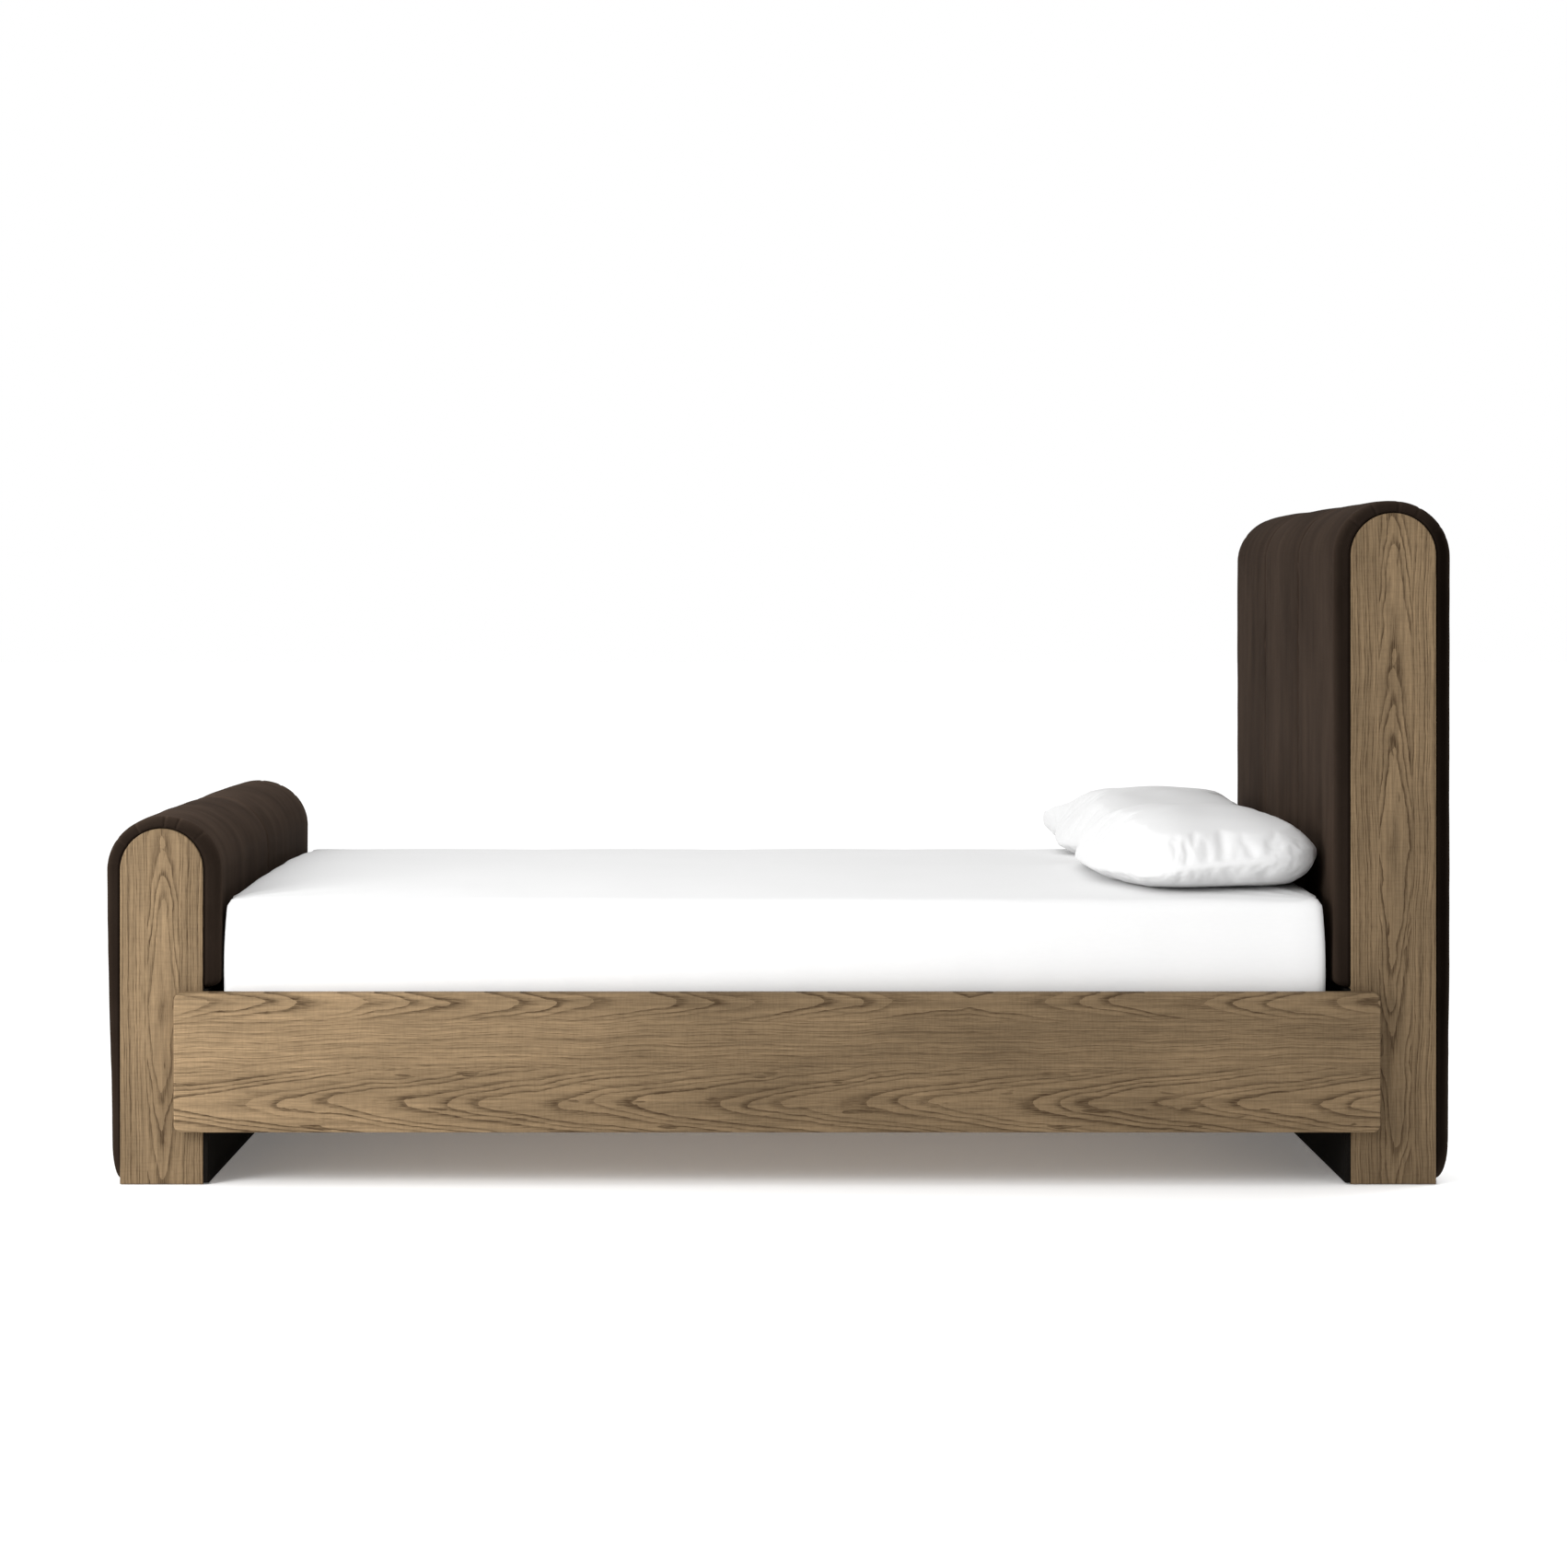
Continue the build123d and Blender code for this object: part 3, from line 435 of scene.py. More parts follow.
black_steel = metal("black_steel", (0.018, 0.018, 0.019, 1.0), 0.48, 0.0)
zinc_steel = metal("zinc_steel", (0.56, 0.57, 0.58, 1.0), 0.34, 1.0)
brass = metal("brass_insert", (0.70, 0.50, 0.22, 1.0), 0.36, 1.0)
moulded = nylon()


def wears(node, material):
    """Gives a CAD node a material."""
    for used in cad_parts[node].material_slots:
        used.material = material


SLAT_NODES = sorted(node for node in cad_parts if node.startswith("slat_") and "ledge" not in node)
for side in ("near", "far"):
    wears(f"side_rail_{side}", rail_oak)
    wears(f"slat_ledge_{side}", beam_wood)
    wears(f"head_end_panel_{side}", head_oak)
    wears(f"foot_end_panel_{side}", foot_oak)
for node in SLAT_NODES:
    wears(node, slat_wood)
for end, boards in (("head", ("front", "rear")), ("foot", ("inner", "outer"))):
    for board in boards + ("top",):
        wears(f"{end}_{board}_board", plywood_upright)
    wears(f"{end}_ribs", plywood_ribs)
    wears(f"{end}_bolt_rail", bolt_rail_wood)
    wears(f"{end}_lower_panel", lining)
for number in (1, 2, 3):
    wears(f"leveller_stem_{number}", zinc_steel)
    wears(f"leveller_pad_{number}", moulded)
for node, material in (
    ("centre_beam", beam_wood), ("centre_legs", leg_wood), ("beam_hangers", black_steel),
    ("rail_brackets", black_steel), ("bed_bolts", zinc_steel), ("wood_screws", zinc_steel),
    ("threaded_inserts", brass), ("dowels", beech), ("floor_glides", moulded),
):
    wears(node, material)


# ---------------------------------------------------------------- mesh helpers
def smooth(x):
    """0 below 0, 1 above 1, and a smooth rise between."""
    x = np.clip(x, 0.0, 1.0)
    return x * x * (3.0 - 2.0 * x)


SQUARE = ((0, 0), (1, 0), (1, 1), (0, 1))      # steps to the corners of one face of a grid


def make_piece(name, vertices, faces, material):
    """A smooth-shaded mesh object with outward normals."""
    mesh = bpy.data.meshes.new(name)
    mesh.from_pydata([tuple(v) for v in vertices], [], faces)
    work = bmesh.new()
    work.from_mesh(mesh)
    bmesh.ops.recalc_face_normals(work, faces=work.faces)
    work.to_mesh(mesh)
    work.free()
    mesh.polygons.foreach_set("use_smooth", [True] * len(mesh.polygons))
    mesh.materials.append(material)
    piece = bpy.data.objects.new(name, mesh)
    bpy.context.scene.collection.objects.link(piece)
    return piece


def soft_noise(points, scale, seed):
    """Smooth noise between -1 and 1 at each point."""
    shift = Vector((seed * 3.1, seed * 1.7, seed * 2.3))
    return np.array([noise.noise(Vector(p) * scale + shift) for p in points])


# ---------------------------------------------------------------- leather padding
PAD_END_ROUND = 0.016          # rounding where the padding turns onto its end
SEAM_WIDTH = 0.011             # how far from a seam the padding rolls down into it
SEAM_DEPTH = 0.0042
CROWN = 0.0022                 # swell between two seams
PLEATS = 7                     # small pleats of the turned edge round each arch
PLEAT_DEPTH = 0.0022
PLEAT_WIDTH = 0.0030
PUCKER = 0.00042               # height of the stitch puckers beside a seam
FULL_PAD = 0.02                # padding at least this thick has its full crown and seams
WOOD_GAP = 0.0002              # the closed back stays this far off the wood
PATH_STEP = 0.009              # distance between the lines of the mesh along the straight faces
HEEL = 0.016                   # height of the rounded lower edge on the mattress side
TOE = 0.068                    # and on the outside


class Padding:
    """The padding over one end of the bed, followed from the mattress side over the arch to the outside."""

    def __init__(self, end, taper):           # taper is how much thinner the outside gets towards the floor
        wood_low, wood_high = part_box(f"{end}_end_panel_near")
        leather_low, leather_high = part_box(f"{end}_leather_near")
        self.half = -leather_low.y
        self.outward = 1.0 if wood_low.x > 0.0 else -1.0
        self.radius = (wood_high.x - wood_low.x) / 2.0
        self.centre_x = (wood_high.x + wood_low.x) / 2.0
        self.arch_z = wood_high.z - self.radius
        gaps = (wood_low.x - leather_low.x, leather_high.x - wood_high.x)
        self.inner_pad, self.outer_pad = gaps if self.outward > 0.0 else gaps[::-1]
        self.top_pad = leather_high.z - wood_high.z
        self.inner_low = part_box(f"{end}_lower_panel")[1].z + 0.002
        self.outer_low = leather_low.z - 0.002
        self.taper = taper
        self.path()

    def path(self):
        """Points, outward normals and padding thickness along the arch-shaped path."""
        inner = np.concatenate([
            self.inner_low + HEEL * np.array([0.0, 0.05, 0.125, 0.25, 0.4375, 0.6875, 1.0]),
            np.arange(self.inner_low + HEEL + 0.008, self.arch_z - 0.004, PATH_STEP),
        ])
        turn = np.linspace(0.0, math.pi, 230)
        outer = np.concatenate([
            np.arange(self.arch_z - PATH_STEP, self.outer_low + TOE + 0.007, -PATH_STEP),
            self.outer_low + TOE * (1.0 - np.sin(np.linspace(0.0, math.pi / 2.0, 14))),
        ])
        angle = np.pad(turn, (len(inner), len(outer)), mode="edge")
        lift = np.concatenate([inner - self.arch_z, np.zeros_like(turn), outer - self.arch_z])
        self.normal_x = -self.outward * np.cos(angle)
        self.normal_z = np.sin(angle)
        self.wood_x = self.centre_x + self.radius * self.normal_x
        self.wood_z = self.arch_z + self.radius * self.normal_z + lift
        self.angle = angle
        top = np.sin(angle) ** 2
        first = angle < math.pi / 2.0
        pad = np.where(first, self.inner_pad, self.outer_pad) * (1.0 - top) + self.top_pad * top
        outside = angle >= math.pi - 1e-6
        thinning = self.taper * smooth((self.outer_low + 0.50 - self.wood_z) / 0.45)
        pad = pad - np.where(outside, thinning, 0.0)
        toe = np.clip((self.outer_low + TOE - self.wood_z) / TOE, 0.0, 1.0)
        pad = np.where(outside, pad * np.sqrt(1.0 - toe ** 2), pad)
        inside = angle <= 1e-6
        heel = np.clip((self.inner_low + HEEL - self.wood_z) / HEEL, 0.0, 1.0)
        pad = np.where(inside, pad * np.sqrt(1.0 - heel ** 2), pad)
        self.pad = np.maximum(pad, 0.0006)
        self.fullness = np.minimum(1.0, self.pad / FULL_PAD)
        step = np.hypot(np.diff(self.wood_x), np.diff(self.wood_z))
        self.run = np.concatenate([[0.0], np.cumsum(step)])


def across_stops(edges):
    """Lines across one leather panel, as (kind, y, roll, share).

    Where the padding turns onto its end, roll is its sideways angle, and share then runs to 1 at the wood.
    """
    seam_steps = SEAM_WIDTH * (1.0 - np.cos(np.linspace(0.0, math.pi / 2.0, 7)))[:-1]
    end_lines = [(1.0, share) for share in (1.0, 0.93, 0.80, 0.62, 0.40, 0.18)]
    end_lines += [(turn, 0.0) for turn in np.linspace(math.pi / 2.0, 0.0, 8)[:-1]]

    def border(edge, is_end, inward):
        """The lines from one edge inwards, and where the plain face starts."""
        if is_end:
            return [("end", edge, roll, share) for roll, share in end_lines], edge + inward * PAD_END_ROUND
        return [("face", edge + inward * step, 0.0, 0.0) for step in seam_steps], edge + inward * SEAM_WIDTH

    from_low, first = border(*edges[0], 1.0)
    from_high, last = border(*edges[1], -1.0)
    middle = np.linspace(first, last, max(8, int((last - first) / 0.0085)))
    return from_low + [("face", y, 0.0, 0.0) for y in middle] + from_high[::-1]


def pleat_lines(padding, seed):
    """How deep the pleats of the turned edge are along the path: 1 in a pleat at the top of the arch."""
    rng = random.Random(seed)
    depth = np.zeros(len(padding.pad))
    for i in range(PLEATS):
        pleat = math.pi * (0.06 + 0.88 * (i + rng.uniform(-0.3, 0.3)) / (PLEATS - 1.0))
        away = (padding.angle - pleat) * (padding.radius + padding.top_pad)
        depth += np.exp(-(away / PLEAT_WIDTH) ** 2)
    on_arch = (padding.angle > 1e-6) & (padding.angle < math.pi - 1e-6)
    return np.where(on_arch, depth * np.sin(padding.angle), 0.0)


def face_line(padding, y, edges, seed):
    """Height of the padding along one line of the face: crowned, drawn down and puckered at its seams."""
    (low, _), (high, _) = edges
    crown = CROWN * math.sqrt(max(0.0, math.sin(math.pi * (y - low) / (high - low))))
    height = padding.pad + crown * padding.fullness
    run = padding.run
    pucker = np.sin(run / 0.0075 + 2.0 * np.sin(run / 0.11 + seed)) + 0.6 * np.sin(run / 0.019 + seed)
    for gap in [abs(y - edge) for edge, is_end in edges if not is_end]:
        fall = max(0.0, 1.0 - gap / SEAM_WIDTH)
        height = height - SEAM_DEPTH * (1.0 - math.sqrt(1.0 - fall ** 2)) * padding.fullness
        height = height + PUCKER * pucker * math.exp(-((gap - 0.010) / 0.022) ** 2)
    return height


def end_line(padding, roll, share, pleat):
    """Height of one line where the padding turns onto its end, and how far in from the end it lies."""
    rolled = np.minimum(PAD_END_ROUND, 0.6 * padding.pad)
    if share == 0.0:
        height = padding.pad - rolled * (1.0 - math.cos(roll))
        inward = PAD_END_ROUND - rolled * math.sin(roll)
    else:
        height = (padding.pad - rolled) * (1.0 - share)
        tuck = 0.0035 * smooth((share - 0.55) / 0.45)
        bulge = 0.0016 * math.sin(math.pi * share)
        inward = PAD_END_ROUND - rolled + tuck - bulge
    pinch = 0.4 + 0.6 * math.sin(math.pi * min(1.0, share + 0.3))
    return height, inward + 1.3 * PLEAT_DEPTH * pinch * pleat


def closed_behind(padding, points, columns):
    """Vertices and faces of a panel's grid of points, closed by a plain back against the wood."""
    rows = len(padding.pad)
    vertices = [tuple(point) for point in points]
    faces = []
    for r in range(rows - 1):
        for a in range(r * columns, (r + 1) * columns - 1):
            faces.append((a, a + 1, a + columns + 1, a + columns))
    back_columns = (0, columns // 2, columns - 1)
    back_pairs = tuple(zip(back_columns[:-1], back_columns[1:]))
    back = {}
    for r in range(1, rows - 1):
        for c in back_columns:
            back[r, c] = len(vertices)
            x = padding.wood_x[r] + padding.normal_x[r] * WOOD_GAP
            z = padding.wood_z[r] + padding.normal_z[r] * WOOD_GAP
            vertices.append((x, points[r * columns + c][1], z))
    for r in range(1, rows - 2):
        for c0, c1 in back_pairs:
            faces.append((back[r, c0], back[r + 1, c0], back[r + 1, c1], back[r, c1]))
        for c in (0, columns - 1):
            a, b = r * columns + c, (r + 1) * columns + c
            faces.append((a, b, back[r + 1, c], back[r, c]))
    for r, rim in ((1, 0), (rows - 2, rows - 1)):
        for c0, c1 in back_pairs:
            fringe = [rim * columns + c for c in range(c0, c1 + 1)]
            faces.append(tuple(fringe + [back[r, c1], back[r, c0]]))
        for c in (0, columns - 1):
            faces.append((rim * columns + c, r * columns + c, back[r, c]))
    return vertices, faces


def leather_panel(name, padding, low, high, seed):
    """One leather panel over its foam, closed behind against the wood."""
    edges = ((low, low < -padding.half + 1e-6), (high, high > padding.half - 1e-6))
    stops = across_stops(edges)
    pleat = pleat_lines(padding, seed)
    rows, columns = len(padding.pad), len(stops)
    grid = np.zeros((rows, columns, 3))
    for column, (kind, y, roll, share) in enumerate(stops):
        if kind == "face":
            height, place = face_line(padding, y, edges, seed), y
            from_end = min([abs(y - edge) for edge, is_end in edges if is_end] or [1.0])
            pleated = math.exp(-((from_end / 0.022) ** 2))
        else:
            height, inward = end_line(padding, roll, share, pleat)
            place = y + inward if y == low else y - inward
            pleated = 1.0 - 0.45 * share
        height = np.maximum(height - PLEAT_DEPTH * pleated * pleat, 0.0004)
        grid[:, column, 0] = padding.wood_x + padding.normal_x * height
        grid[:, column, 1] = place
        grid[:, column, 2] = padding.wood_z + padding.normal_z * height
    points = grid.reshape(-1, 3)
    swell = soft_noise(points, 7.0, seed) * 0.0010 + soft_noise(points, 21.0, seed + 4) * 0.00035
    face_share = [1.0 if kind == "face" else 0.25 * (1.0 - share) for kind, _, _, share in stops]
    weight = (padding.fullness[:, None] * np.array(face_share)).reshape(-1)
    normals = np.stack([padding.normal_x, np.zeros(rows), padding.normal_z], axis=1)
    points = points + (swell * weight)[:, None] * np.repeat(normals, columns, axis=0)
    return make_piece(name, *closed_behind(padding, points, columns), hide)


def pad_end(end, names, taper, seed):
    """All the leather panels of one end, with seams evenly spaced between them."""
    padding = Padding(end, taper)
    edges = np.linspace(-padding.half, padding.half, len(names) + 1)
    for i, part in enumerate(names):
        piece = leather_panel(f"{end}_cover_{part}", padding, edges[i], edges[i + 1], seed + i)
        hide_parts(f"{end}_leather_{part}", *([f"{end}_foam"] if i == 0 else []))
        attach(piece, "bed_frame")


pad_end("head", ("near", "middle", "far"), 0.003, 5)
pad_end("foot", ("near", "far"), 0.009, 17)


# ---------------------------------------------------------------- mattress and fitted sheet
mattress_low, mattress_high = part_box("mattress")
sheet_low, sheet_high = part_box("fitted_sheet")
bed_centre = (sheet_low + sheet_high) / 2.0
HALF_LENGTH = (sheet_high.x - sheet_low.x) / 2.0
HALF_WIDTH = (sheet_high.y - sheet_low.y) / 2.0
EDGE_ROUND = 0.016
TOP_EDGE_DROP = 0.017          # the top is lower along its edges than the CAD block
TOP_CROWN = 0.022
SHEET_TUCK = 0.13              # how far the sheet is tucked under the mattress


def crown_height(x, y):
    """Height of the sheet's top at a place, with its crown."""
    along = 1.0 - np.abs((x - bed_centre.x) / HALF_LENGTH) ** 60
    across = 1.0 - np.abs((y - bed_centre.y) / HALF_WIDTH) ** 3
    return sheet_high.z - TOP_EDGE_DROP + TOP_CROWN * np.clip(along * across, 0.0, 1.0)


def graded(low, high, fine, coarse, margin):
    """Grid lines from low to high, fine near both ends and coarse between."""
    count_fine = max(2, int(round(margin / fine)))
    count_coarse = max(2, int(round((high - low - 2 * margin) / coarse)))
    parts = [
        np.linspace(low, low + margin, count_fine + 1)[:-1],
        np.linspace(low + margin, high - margin, count_coarse + 1)[:-1],
        np.linspace(high - margin, high, count_fine + 1),
    ]
    return np.concatenate(parts)


def lattice_box(xs, ys, zs):
    """Vertices and faces of a box's surface on a lattice, and which faces look down."""
    lines = (xs, ys, zs)
    index, vertices, faces, down = {}, [], [], []

    def vertex(key):
        if key not in index:
            index[key] = len(vertices)
            vertices.append(tuple(line[k] for line, k in zip(lines, key)))
        return index[key]

    for fixed, a, b in ((2, 0, 1), (1, 0, 2), (0, 1, 2)):
        for level in (0, len(lines[fixed]) - 1):
            for i in range(len(lines[a]) - 1):
                for j in range(len(lines[b]) - 1):
                    ring = []
                    for step_i, step_j in SQUARE:
                        key = [0, 0, 0]
                        key[fixed], key[a], key[b] = level, i + step_i, j + step_j
                        ring.append(vertex(tuple(key)))
                    faces.append(tuple(ring))
                    down.append(fixed == 2 and level == 0)
    return np.array(vertices), faces, down


def rounded(points, low, high, radius):
    """Points on a box's surface moved onto the same box with rounded edges and corners."""
    low, high = np.array(low), np.array(high)
    core = np.clip(points, low + radius, high - radius)
    out = points - core
    length = np.maximum(np.linalg.norm(out, axis=1), 1e-9)
    return core + out / length[:, None] * radius


def corner_pull(x, y):
    """Folds that run from the sheet's corners: how far each point stands out, in metres."""
    pull = np.zeros_like(x)
    for corner_x in (sheet_low.x, sheet_high.x):
        for corner_y in (sheet_low.y, sheet_high.y):
            away_x, away_y = np.abs(x - corner_x), np.abs(y - corner_y)
            distance = np.hypot(away_x, away_y)
            bearing = np.arctan2(away_y, away_x)
            fold = np.sin(bearing * 17.0 + corner_x * 3.0 + corner_y) * np.exp(-distance / 0.16)
            pull += 0.0032 * fold * smooth(distance / 0.05)
    return pull


def make_sheet():
    """The fitted sheet: a crowned top, swelled sides, drawn corners and a hem tucked under the mattress."""
    xs = graded(sheet_low.x, sheet_high.x, 0.009, 0.018, 0.11)
    ys = graded(sheet_low.y, sheet_high.y, 0.009, 0.018, 0.11)
    zs = np.linspace(sheet_low.z, sheet_high.z, 30)
    points, faces, down = lattice_box(xs, ys, zs)
    x, y, z = points[:, 0].copy(), points[:, 1].copy(), points[:, 2].copy()
    shaped = rounded(points, sheet_low, sheet_high, EDGE_ROUND)
    height = (z - sheet_low.z) / (sheet_high.z - sheet_low.z)
    top_weight = smooth((height - 0.55) / 0.45)
    shaped[:, 2] += top_weight * (crown_height(x, y) - sheet_high.z)
    swell = 0.006 * np.sin(math.pi * height)
    pull = corner_pull(x, y)
    ripple = soft_noise(shaped, 5.0, 31) * 0.0018 + soft_noise(shaped, 16.0, 37) * 0.0004
    upright = soft_noise(shaped * np.array([14.0, 14.0, 1.5]), 1.0, 41) * 0.0009
    for axis, half in enumerate((HALF_LENGTH, HALF_WIDTH)):
        from_centre = points[:, axis] - bed_centre[axis]
        on_side = smooth((np.abs(from_centre) - half + 0.04) / 0.04)
        shaped[:, axis] += np.sign(from_centre) * on_side * (swell + pull + upright - 0.004)
    shaped[:, 2] += top_weight * (ripple + 0.8 * pull)
    kept = []
    for face, looks_down in zip(faces, down):
        if looks_down:
            middle = points[list(face)].mean(axis=0)
            margins = [min(middle[a] - sheet_low[a], sheet_high[a] - middle[a]) for a in (0, 1)]
            if min(margins) > SHEET_TUCK:
                continue
        kept.append(face)
    used = sorted({v for face in kept for v in face})
    renumber = {old: new for new, old in enumerate(used)}
    kept = [tuple(renumber[v] for v in face) for face in kept]
    return make_piece("sheet_on_mattress", shaped[used], kept, sheet_cotton)


def make_mattress():
    """The mattress under the sheet, with a taped edge top and bottom."""
    inset = 0.006
    low = Vector((mattress_low.x + inset, mattress_low.y + inset, mattress_low.z + 0.001))
    top = mattress_high.z - TOP_EDGE_DROP - 0.004
    high = Vector((mattress_high.x - inset, mattress_high.y - inset, top))
    xs = graded(low.x, high.x, 0.012, 0.05, 0.10)
    ys = graded(low.y, high.y, 0.012, 0.05, 0.10)
    zs = np.linspace(low.z, high.z, 24)
    points, faces, _ = lattice_box(xs, ys, zs)
    shaped = rounded(points, low, high, EDGE_ROUND)
    height = (points[:, 2] - low.z) / (high.z - low.z)
    tape = np.exp(-((height - 0.10) / 0.02) ** 2) + np.exp(-((height - 0.90) / 0.02) ** 2)
    way = shaped[:, :2] - np.array(bed_centre.xy)
    side = (np.abs(points[:, 2] - low.z) > 1e-6) & (np.abs(points[:, 2] - high.z) > 1e-6)
    way = way / np.linalg.norm(way, axis=1)[:, None]
    shaped[:, :2] += way * (0.003 * tape * side)[:, None]
    return make_piece("mattress_body", shaped, faces, mattress_ticking)


sheet_piece = make_sheet()
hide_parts("fitted_sheet")
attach(sheet_piece, "mattress")
mattress_piece = make_mattress()
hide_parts("mattress")
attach(mattress_piece, "mattress")


# ---------------------------------------------------------------- pillows
PILLOW_RINGS = 34              # grid lines from the middle of the pillow to its seam
PILLOW_VOXEL = 0.0075
CASE_SLACK = 0.030             # how much larger the case is cut than the pillow's form
FILL_FRAMES = 20
FILL_SETTINGS = {
    "quality": 6, "mass": 0.3, "tension_stiffness": 15.0, "compression_stiffness": 15.0,
    "shear_stiffness": 5.0, "bending_stiffness": 0.10, "shrink_min": -CASE_SLACK,
    "vertex_group_mass": "seam", "use_pressure": True, "uniform_pressure_force": 4.0,
}
MOVE_CAP = 0.010               # furthest a point may move while the case fills
PILLOW_SINK = 0.010            # how far a pillow presses into the bed
EAR_REACH = 0.045              # size of a case corner that stands out
ROUNDED_CORNER = 0.055         # how far the near foot-side corner is drawn in
SEAM_SHARE = 0.36              # height of the side seam as a share of the pillow's thickness


def stuffed_pillow(name, size, seed, square):
    """A pillow of two layers joined at a side seam, before its case is filled; one corner may be squarer."""
    steps = np.sin(np.linspace(-1.0, 1.0, 2 * PILLOW_RINGS + 1) * 1.45) / math.sin(1.45)
    last = 2 * PILLOW_RINGS
    vertices, faces, index = [], [], {}

    def key_of(layer, i, j):
        return (0 if i in (0, last) or j in (0, last) else layer, i, j)

    for layer in (1, -1):
        for i, a in enumerate(steps):
            for j, b in enumerate(steps):
                key = key_of(layer, i, j)
                if key in index:
                    continue
                index[key] = len(vertices)
                reach = max(abs(a), abs(b), 1e-6)
                square_a, square_b = abs(a) / reach, abs(b) / reach
                softness = 0.80 - (square if a < 0.0 < b else 0.0) * (square_a * square_b) ** 3
                inward = max(1.0, (square_a ** 4 + square_b ** 4) ** 0.25) ** softness
                lump = noise.noise(Vector((a * 2.1, b * 2.9, seed + layer * 3.0)))
                rise = math.sqrt(max(0.0, 1.0 - reach ** 2.5))
                x = a / inward * size.x / 2.0
                y = b / inward * size.y / 2.0
                vertices.append((x, y, layer * rise * (1.0 + 0.05 * lump) * size.z / 2.0))
    for layer in (1, -1):
        for i in range(last):
            for j in range(last):
                ring = [index[key_of(layer, i + a, j + b)] for a, b in SQUARE[::layer]]
                faces.append(tuple(ring))
    return make_piece(name, vertices, faces, case_cotton)


def remesh(piece):
    """Replaces the mesh with an even one made of small squares."""
    modifier = piece.modifiers.new("Remesh", "REMESH")
    modifier.mode = "VOXEL"
    modifier.voxel_size = PILLOW_VOXEL
    graph = bpy.context.evaluated_depsgraph_get()
    even = bpy.data.meshes.new_from_object(piece.evaluated_get(graph))
    piece.modifiers.clear()
    piece.vertex_groups.clear()
    piece.data = even
    even.materials.clear()
    even.materials.append(case_cotton)


def fill_pillow(piece, size):
    """Fills the case by cloth simulation without gravity and keeps each point near its form."""
    remesh(piece)
    before = np.array([v.co for v in piece.data.vertices])
    near_seam = np.flatnonzero(np.abs(before[:, 2]) < 0.05 * size.z)
    piece.vertex_groups.new(name="seam").add([int(i) for i in near_seam], 1.0, "REPLACE")
    cloth = piece.modifiers.new("Cloth", "CLOTH")
    for key, value in FILL_SETTINGS.items():
        setattr(cloth.settings, key, value)
    cloth.settings.effector_weights.gravity = 0.0
    cloth.collision_settings.use_collision = False
    cloth.collision_settings.use_self_collision = False
    cloth.point_cache.frame_start = 1
    cloth.point_cache.frame_end = FILL_FRAMES
    scene = bpy.context.scene
    for number in range(1, FILL_FRAMES + 1):
        scene.frame_set(number)
    graph = bpy.context.evaluated_depsgraph_get()
    filled = piece.evaluated_get(graph).to_mesh()
    move = np.array([v.co for v in filled.vertices]) - before
    piece.modifiers.clear()
    far = np.linalg.norm(move, axis=1)
    kept = before + move * np.minimum(1.0, MOVE_CAP / np.maximum(far, 1e-9))[:, None]
    for vertex, place in zip(piece.data.vertices, kept):
        vertex.co = place
    scene.frame_set(1)


def settle_pillow(piece, side, turn, shift, corner_droop, ear):
    """Sets a filled pillow on the bed with a flat underside; its far foot-side corner may stand out."""
    low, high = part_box(f"pillowcase_{side}")
    centre = (low + high) / 2.0
    points = np.array([v.co for v in piece.data.vertices])
    points -= (points.min(axis=0) + points.max(axis=0)) / 2.0
    span = points.max(axis=0) - points.min(axis=0)
    size = np.array(high) - np.array(low)
    room = abs(math.sin(turn)) * np.array([size[1], size[0], 0.0])
    points[:, :2] *= ((size - 0.30 * room) / span)[:2]
    up = points[:, 2] / (span[2] / 2.0)
    ends = points[:, 0] / (size[0] / 2.0)
    wide = points[:, 1] / (size[1] / 2.0)
    seam = SEAM_SHARE * size[2] * (1.0 + 0.34 * ends)
    corner = np.clip(np.abs(ends) ** 3 * np.abs(wide) ** 3, 0.0, 1.0)
    points[:, 0] += ROUNDED_CORNER * smooth(-ends) * smooth((-wide - 0.2) / 0.8)
    seam = seam - corner * corner_droop * np.where(ends < 0.0, 1.0, 0.25)
    above = np.clip(up, 0.0, None) * (size[2] - seam)
    below = np.clip(-up, 0.0, None)
    below = seam * np.clip(1.0 - (1.0 - below) ** 1.4, 0.0, 1.0)
    cos, sin = math.cos(turn), math.sin(turn)
    x = centre.x + cos * points[:, 0] - sin * points[:, 1]
    y = centre.y + sin * points[:, 0] + cos * points[:, 1] - shift
    rest = crown_height(x, y) + 0.0015
    lift = seam + above - below
    z = np.maximum(low.z - PILLOW_SINK + lift, rest + 0.10 * np.clip(lift, 0.0, 0.02))
    if ear:
        tip = np.array([x[np.argmax(y - x)], y[np.argmax(y - x)]])
        near_tip = np.exp(-(((x - tip[0]) ** 2 + (y - tip[1]) ** 2) / EAR_REACH ** 2))
        x = x - ear * near_tip
        y = y + 0.5 * ear * near_tip
        z = z + 0.5 * ear * near_tip
    for vertex, place in zip(piece.data.vertices, zip(x, y, z)):
        vertex.co = place


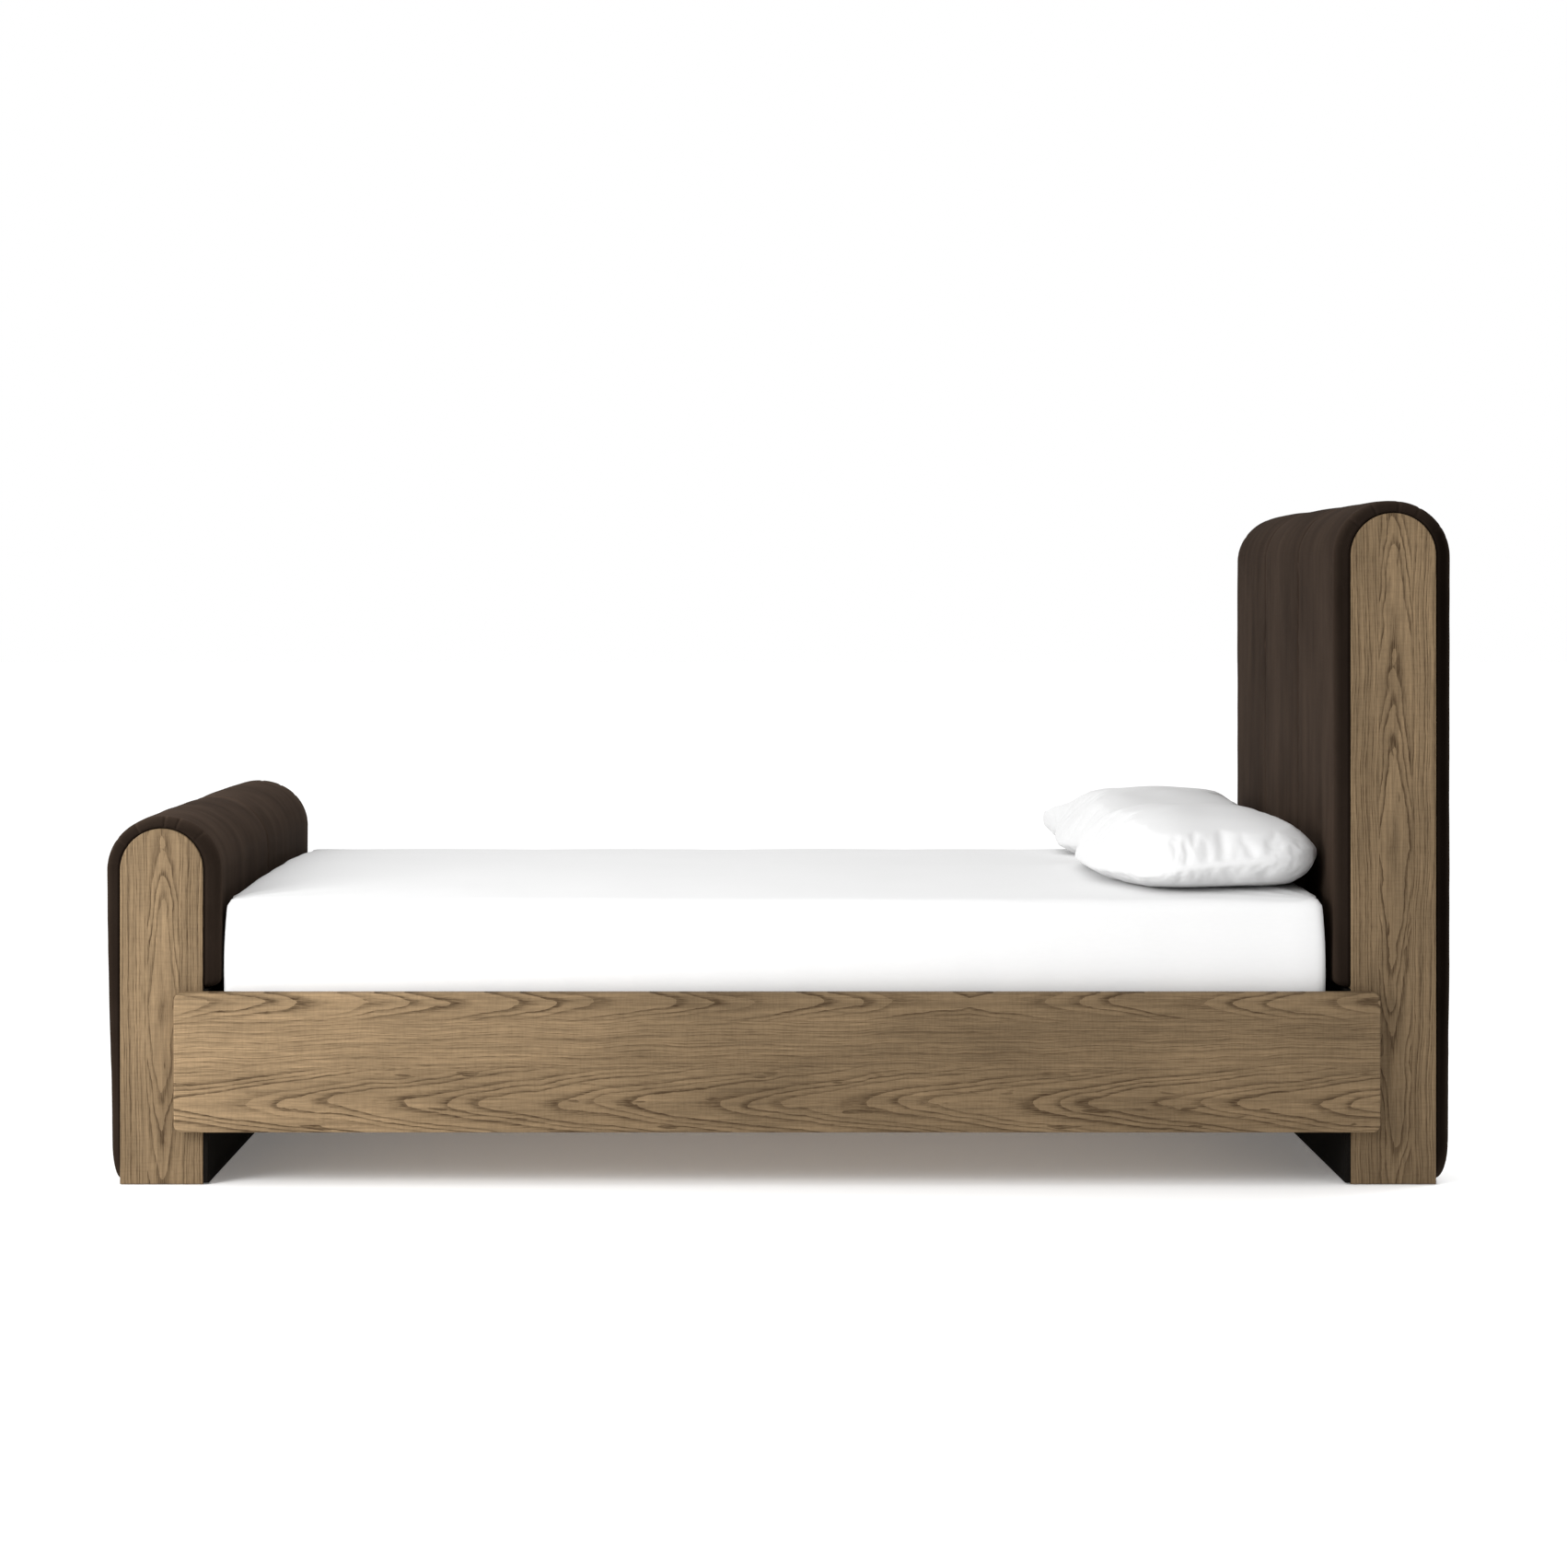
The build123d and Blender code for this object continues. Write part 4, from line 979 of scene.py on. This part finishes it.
# side, turn, shift towards the near side, droop of the foot-side corners, reach of the ear, seed
PILLOWS = (
    ("near", 0.030, 0.018, 0.004, 0.0, 3),
    ("far", -0.045, 0.0, -0.022, 0.022, 8),
)
for side, turn, shift, corner_droop, ear, seed in PILLOWS:
    case_low, case_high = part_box(f"pillowcase_{side}")
    case_size = (case_high - case_low) * 0.97
    pillow = stuffed_pillow(f"pillow_in_case_{side}", case_size, seed, 0.8 if ear else 0.1)
    fill_pillow(pillow, case_size)
    settle_pillow(pillow, side, turn, shift, corner_droop, ear)
    finer = pillow.modifiers.new("Subdivision", "SUBSURF")
    finer.levels = 1
    finer.render_levels = 1
    pillow.data.polygons.foreach_set("use_smooth", [True] * len(pillow.data.polygons))
    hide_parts(f"pillowcase_{side}", f"pillow_{side}")
    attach(pillow, f"pillow_{side}")


# ---------------------------------------------------------------- floor, light and camera
FLOOR_REACH = 60.0
FLOOR_GLOW = 0.125


def floor_white():
    """Near-white paper that glows a little, as an evenly lit studio floor does."""
    graph = Graph("studio_white", roughness=0.9, specular=0.0)
    graph.colour(graph.mix(graph.noise(graph.place, 0.7), grey(0.985), grey(0.995)))
    graph.shader.inputs["Emission Color"].default_value = grey(1.0)
    graph.shader.inputs["Emission Strength"].default_value = FLOOR_GLOW
    return graph.material


def pale_floor():
    """A seamless white studio floor."""
    a = FLOOR_REACH
    corners = [(-a, -a, 0.0), (a, -a, 0.0), (a, a, 0.0), (-a, a, 0.0)]
    floor = make_piece("studio_floor", corners, [(0, 1, 2, 3)], floor_white())


WORLD_LEVEL = 0.86             # light from all round, with more or less along each axis
WORLD_TO_RIGHT = -0.44
WORLD_TO_BACK = -0.07
WORLD_TO_TOP = 0.56


def studio_world():
    """White all round for the camera; for the light it is stronger from the left, the front and above."""
    world = bpy.data.worlds.new("studio")
    bpy.context.scene.world = world
    world.use_nodes = True
    tree = world.node_tree
    tree.nodes.clear()
    place = add_node(tree, "ShaderNodeTexCoord").outputs["Generated"]
    axes = add_node(tree, "ShaderNodeSeparateXYZ", {0: place}).outputs
    strength = WORLD_LEVEL
    for axis, share in zip(axes, (WORLD_TO_RIGHT, WORLD_TO_BACK, WORLD_TO_TOP)):
        terms = {0: axis, 1: share, 2: strength}
        strength = add_node(tree, "ShaderNodeMath", terms, operation="MULTIPLY_ADD").outputs[0]
    lit = add_node(tree, "ShaderNodeBackground", {"Strength": strength}).outputs[0]
    seen = add_node(tree, "ShaderNodeBackground", {"Color": grey(1.0), "Strength": 1.0}).outputs[0]
    by_camera = add_node(tree, "ShaderNodeLightPath").outputs["Is Camera Ray"]
    chosen = add_node(tree, "ShaderNodeMixShader", {0: by_camera, 1: lit, 2: seen}).outputs[0]
    add_node(tree, "ShaderNodeOutputWorld", {"Surface": chosen})


def soft_box(name, place, target, size, power, spread=math.pi):
    """A large square studio light aimed at a point; spread is the angle of its beam."""
    data = bpy.data.lights.new(name, "AREA")
    data.shape = "SQUARE"
    data.size = size
    data.energy = power
    data.spread = spread
    light = bpy.data.objects.new(name, data)
    light.location = place
    light.rotation_mode = "QUATERNION"
    light.rotation_quaternion = (Vector(target) - Vector(place)).to_track_quat("-Z", "Y")
    bpy.context.scene.collection.objects.link(light)


CAMERA_DISTANCE = 7.7          # from the end panels' near faces
CAMERA_HEIGHT = 1.082
CAMERA_X = -0.057
LENS = 96.1
SHIFT_X = 0.0229
SHIFT_Y = -0.1195


def photograph_camera():
    """A level long-lens camera square to the bed's near side."""
    data = bpy.data.cameras.new("camera")
    data.sensor_width = 36.0
    data.lens = LENS
    data.shift_x = SHIFT_X
    data.shift_y = SHIFT_Y
    data.clip_end = 200.0
    camera = bpy.data.objects.new("camera", data)
    near_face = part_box("head_end_panel_near")[0].y
    camera.location = (CAMERA_X, near_face - CAMERA_DISTANCE, CAMERA_HEIGHT)
    camera.rotation_euler = (math.pi / 2.0, 0.0, 0.0)
    bpy.context.scene.collection.objects.link(camera)
    bpy.context.scene.camera = camera


pale_floor()
studio_world()
soft_box("key", (-2.7, -2.9, 1.5), (-0.7, -0.6, 0.4), size=1.5, power=80.0)
soft_box("floor_fill", (2.45, 0.2, 2.6), (2.3, 0.2, 0.0), size=1.0, power=22.0, spread=math.radians(64.0))
photograph_camera()
bpy.context.scene.view_settings.view_transform = "Standard"
